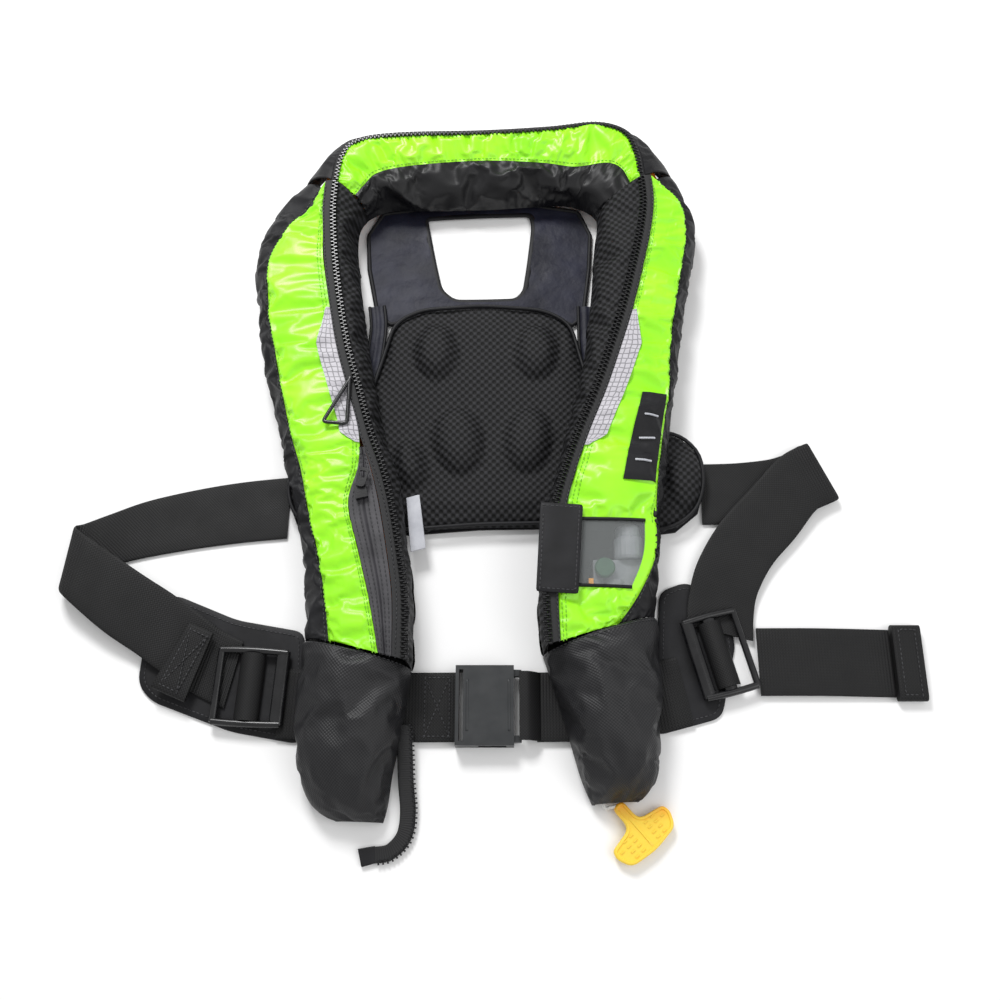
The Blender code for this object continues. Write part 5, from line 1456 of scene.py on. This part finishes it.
TOGGLE_TURN = math.radians(-49.0)
TOGGLE_AT = (0.0985, -0.2300)
TOGGLE_LONG = 0.038
TOGGLE_HALF = 0.025
TOGGLE_FLOOR = 0.0022
TOGGLE_TOP = 0.0077
CORD_RADIUS = 0.0012
CORD_ROUTE = mm(
    [(81.3, -85, 35), (82, -93, 32), (83.5, -104, 24), (86, -118, 14.5), (87.2, -132, 9.6), (87.5, -146, 8.5),
     (87.5, -187, 8.5), (87.5, -228, 8.5), (92, -230.5, 7.2), (97.3, -229.3, 5.2)]
)


def toggle():
    neck = [(-0.002, 0.0044), (-0.002, -0.0044), (TOGGLE_LONG * 0.40, -0.0046)]
    wing = [(0.50, 0.94), (0.66, 1.0), (0.93, 0.82)]
    lower = [(TOGGLE_LONG * along, -TOGGLE_HALF * out) for along, out in wing]
    upper = [(x, -y) for x, y in lower[::-1]]
    outline = fillet(neck + lower + [(TOGGLE_LONG, 0)] + upper + [(TOGGLE_LONG * 0.40, 0.0046)], 0.0055)
    outline = np.array(turned([(x, y, 0) for x, y in outline], TOGGLE_AT, TOGGLE_TURN))[:, :2]
    foot, top = TOGGLE_FLOOR, TOGGLE_TOP
    levels = [(0.0010, foot), (0.0, foot + 0.0010), (0.0, top - 0.0010), (0.0006, top - 0.0002),
              (0.0016, top), (0.0020, top - 0.0001), (0.0024, top - 0.0010)]
    piece = lofted("pull_toggle_body", outline, levels, "yellow", 140)
    put(piece, "pull_toggle", "yellow_plastic", "pull_toggle")
    toggle_ridges()
    pull_cord()


def toggle_ridges():
    """Raised grip ridges in place of lettering."""
    level = TOGGLE_TOP - 0.0009
    ahead = np.array([math.cos(TOGGLE_TURN), math.sin(TOGGLE_TURN), 0])
    side = np.array([-ahead[1], ahead[0], 0])
    up = np.array([0, 0, 1.0])
    points, faces = [], []
    for row in range(4):
        x = (0.52 + row * 0.11) * TOGGLE_LONG
        for column in (-3, -2, -1, 1, 2, 3):
            y = column * 0.0060 + (0.001 if column > 0 else -0.001)
            if abs(y) <= 0.021 - row * 0.0012:
                (spot,) = turned([(x, y, level)], TOGGLE_AT, TOGGLE_TURN)
                bar_mesh(points, faces, np.array(spot), ahead, side, up, (0.0011, 0.0036, 0.0014))
    (spot,) = turned([(0.022, 0, level)], TOGGLE_AT, TOGGLE_TURN)
    bar_mesh(points, faces, np.array(spot), ahead, side, up, (0.024, 0.0016, 0.0016))
    ridges = new_mesh("pull_toggle_ridges", points, faces, "yellow", smooth=False)
    put(ridges, "pull_toggle", "yellow_plastic")


def pull_cord():
    line = follow([catmull(CORD_ROUTE, p) for p in np.linspace(0, 1, 60)], 0.002)
    curve = bpy.data.curves.new("pull_cord_line", "CURVE")
    curve.dimensions = "3D"
    curve.bevel_depth = CORD_RADIUS
    curve.bevel_resolution = 3
    curve.use_fill_caps = True
    spline = curve.splines.new("POLY")
    spline.points.add(len(line) - 1)
    for point, place in zip(spline.points, line):
        point.co = (*place, 1.0)
    curve.materials.append(FINISH["cord"])
    cord = placed("pull_cord_line", curve)
    put(cord, "pull_toggle", "white_cord", "pull_cord")


def on_cover_grid(stations, places, columns_at, lift):
    """Points a little over the front covers. columns_at(index, place) gives a row's columns."""
    rows = []
    for index, place in enumerate(places):
        row = []
        for column in columns_at(index, place):
            point = station(stations, place, column)
            row.append((*point, on_covers(*point, lobe_height(point, column)) + lift))
        rows.append(row)
    return np.array(rows)


def patch(name, stations, low_y, high_y, node):
    """A reflective patch beside the zip, narrow at both ends."""
    places = lobe_places(stations, low_y, high_y, 0.002)
    shares = np.linspace(0, 1, len(places))
    widths = np.interp(shares, [0.0, 0.08, 0.75, 1.0], [0.003, 0.014, 0.015, 0.003])

    def columns(index, place):
        edge, seam = catmull(stations[:, 2], place), catmull(stations[:, 1], place)
        return np.linspace(2.0 - widths[index] / np.linalg.norm(seam - edge), 2.0, 8)

    tops = on_cover_grid(stations, places, columns, 0.0012)
    stretched(name, tops, "silver", 0.0006, "reflective", node)


LABEL_FOOT_Y = 0.000
LABEL_TOP_Y = 0.072
LABEL_COLUMNS = (1.03, 1.42)


def label():
    """The black label, with plain strokes in place of its print."""
    places = lobe_places(RIGHT_STATIONS, LABEL_FOOT_Y, LABEL_TOP_Y, 0.002)
    columns = np.linspace(*LABEL_COLUMNS, 14)
    tops = on_cover_grid(RIGHT_STATIONS, places, lambda index, place: columns, 0.0014)
    stretched("label_cloth", tops, "shell", 0.0008, "black_shell", "label_patch")
    last = tops.shape[0] - 1
    marks = [tops[int(last * share), 3:11] + np.array([0, 0, 0.0006]) for share in (0.25, 0.5, 0.75)]
    stitches("label_marks", marks, "label", "care_label", pitch=0.0012, length=0.0016, radius=0.0007)


TAG_LEVEL = 0.0150


def care_tag():
    outline = mm([(-56, -4), (-46, -1), (-40, -44), (-51.5, -47)])
    levels = [(0.0, TAG_LEVEL), (0.0, TAG_LEVEL + 0.0004), (0.0003, TAG_LEVEL + 0.0008)]
    put(lofted("care_tag_cloth", outline, levels, "label", 60), "root", "care_label", "care_tag")


FLAP_LEVEL = 0.0468
FLAP_THICK = 0.0018


def flap():
    top = FLAP_LEVEL + FLAP_THICK
    outline = fillet(mm([(45, -19), (76, -21), (71, -88), (41, -86)]), 0.002)

    def curl(x, y, z):
        lift = 0.0004 * noise.noise(Vector((x / 0.012, y / 0.02, 6.0)))
        return z + lift if z > FLAP_LEVEL + FLAP_THICK / 2 else z

    levels = [(0.0005, FLAP_LEVEL), (0.0, FLAP_LEVEL + 0.0004), (0.0, top - 0.0004), (0.0005, top)]
    piece = lofted("flap_cloth", outline, levels, "shell", 110, curl)
    put(piece, "velcro_flap", "black_shell", "velcro_flap")
    line = [(*point, top + 0.0001) for point in inset(resampled(outline, 110), 0.0025)]
    stitches("flap_stitches", [line], "thread", "black_shell", "velcro_flap")


LOOP_LEVEL = 0.0474
LOOP_RADIUS = 0.0015


def loop_and_slider():
    outline = fillet(mm([(-97.5, 87), (-120, 44), (-97.5, 42)]), 0.006, 8)
    line = [(*point, LOOP_LEVEL) for point in inset(resampled(outline, 72), LOOP_RADIUS + 0.0001)]
    bar = tube("triangle_loop_bar", line, LOOP_RADIUS, "gloss", 12, 0.95, True)
    put(bar, "triangle_loop", "buckle_plastic", "triangle_loop")
    carried("zip_slider", "gloss", 0.0010)
    carried("zip_pull", "gloss", 0.0005)


def zip_tail():
    rows = [(-53.5, -174, 9, 0), (-52, -192, 6.5, 0), (-51, -212, 4, 2), (-49, -234, 2, 6),
            (-51.5, -250, 1.2, -30), (-61, -260, 0.9, -72), (-71, -262, 0.9, -88)]
    tops = ribbon("zip_tail_tape", rows, "tape", "zip", "root", "zip_tail", width=0.011, thick=0.0022,
                  rib=0.0016)
    line = tops[:, -2] + np.array([0, 0, 0.0002])
    teeth_along("zip_tail_teeth", line, width=0.0034, tall=0.0016)
    tab = mm([(-83, -258), (-71, -256), (-69, -267), (-80, -270)])
    levels = [(0.0003, 0.0006), (0.0, 0.0010), (0.0, 0.0026), (0.0004, 0.0030)]
    put(lofted("zip_tail_end", tab, levels, "shell", 48), "root", "black_shell", "zip_tail_tab")


def inner_parts():
    """Carried-over CAD pieces, most of them inside the lobes."""
    for name, finish, bevel in (
        ("inflator_body", "inflator", 0.0012),
        ("sensor_cap", "inflator", 0.0004),
        ("status_knob", "green", 0.0004),
        ("gas_bottle", "steel", 0.0),
        ("firing_lever", "yellow", 0.0005),
        ("oral_tube", "inflator", 0.0003),
        ("oral_valve", "yellow", 0.0002),
        ("oral_cap", "plastic", 0.0004),
        ("whistle", "yellow", 0.0008),
        ("bladder", "bladder", 0.0),
        ("left_back_cover", "shell", 0.0),
        ("right_back_cover", "shell", 0.0),
        ("back_pad_base", "shell", 0.0),
    ):
        carried(name, finish, bevel)


# ---------------------------------------------------------------- assembly

finishes()
camera()
studio()
side_panels()
front_covers()
window()
zips()
inspection_zip()
mesh_linings()
collar()
back_pad()
yoke()
pocket("left_pocket_cloth", LEFT_POCKET, "left_pocket", 41)
pocket("right_pocket_cloth", RIGHT_POCKET, "right_pocket", 43)
harness()
sleeves()
adjuster("left", (-0.1655, -0.1465), -3.0, (0.054, WEB_WIDTH + 0.0084),
         ((-0.44, 0.0055), (-0.01, 0.0110), (0.40, 0.0100)), "left_adjuster")
adjuster("right", (0.1765, -0.1225), 14.5, (0.044, WEB_WIDTH + 0.01344),
         ((-0.38, 0.0100), (-0.01, 0.0100), (0.44, 0.0050)), "right_adjuster")
buckle()
toggle()
patch("left_reflective_cloth", LEFT_STATIONS, 0.030, 0.145, "left_reflective_patch")
patch("right_reflective_cloth", RIGHT_STATIONS, 0.028, 0.143, "right_reflective_patch")
label()
care_tag()
flap()
loop_and_slider()
zip_tail()
inner_parts()
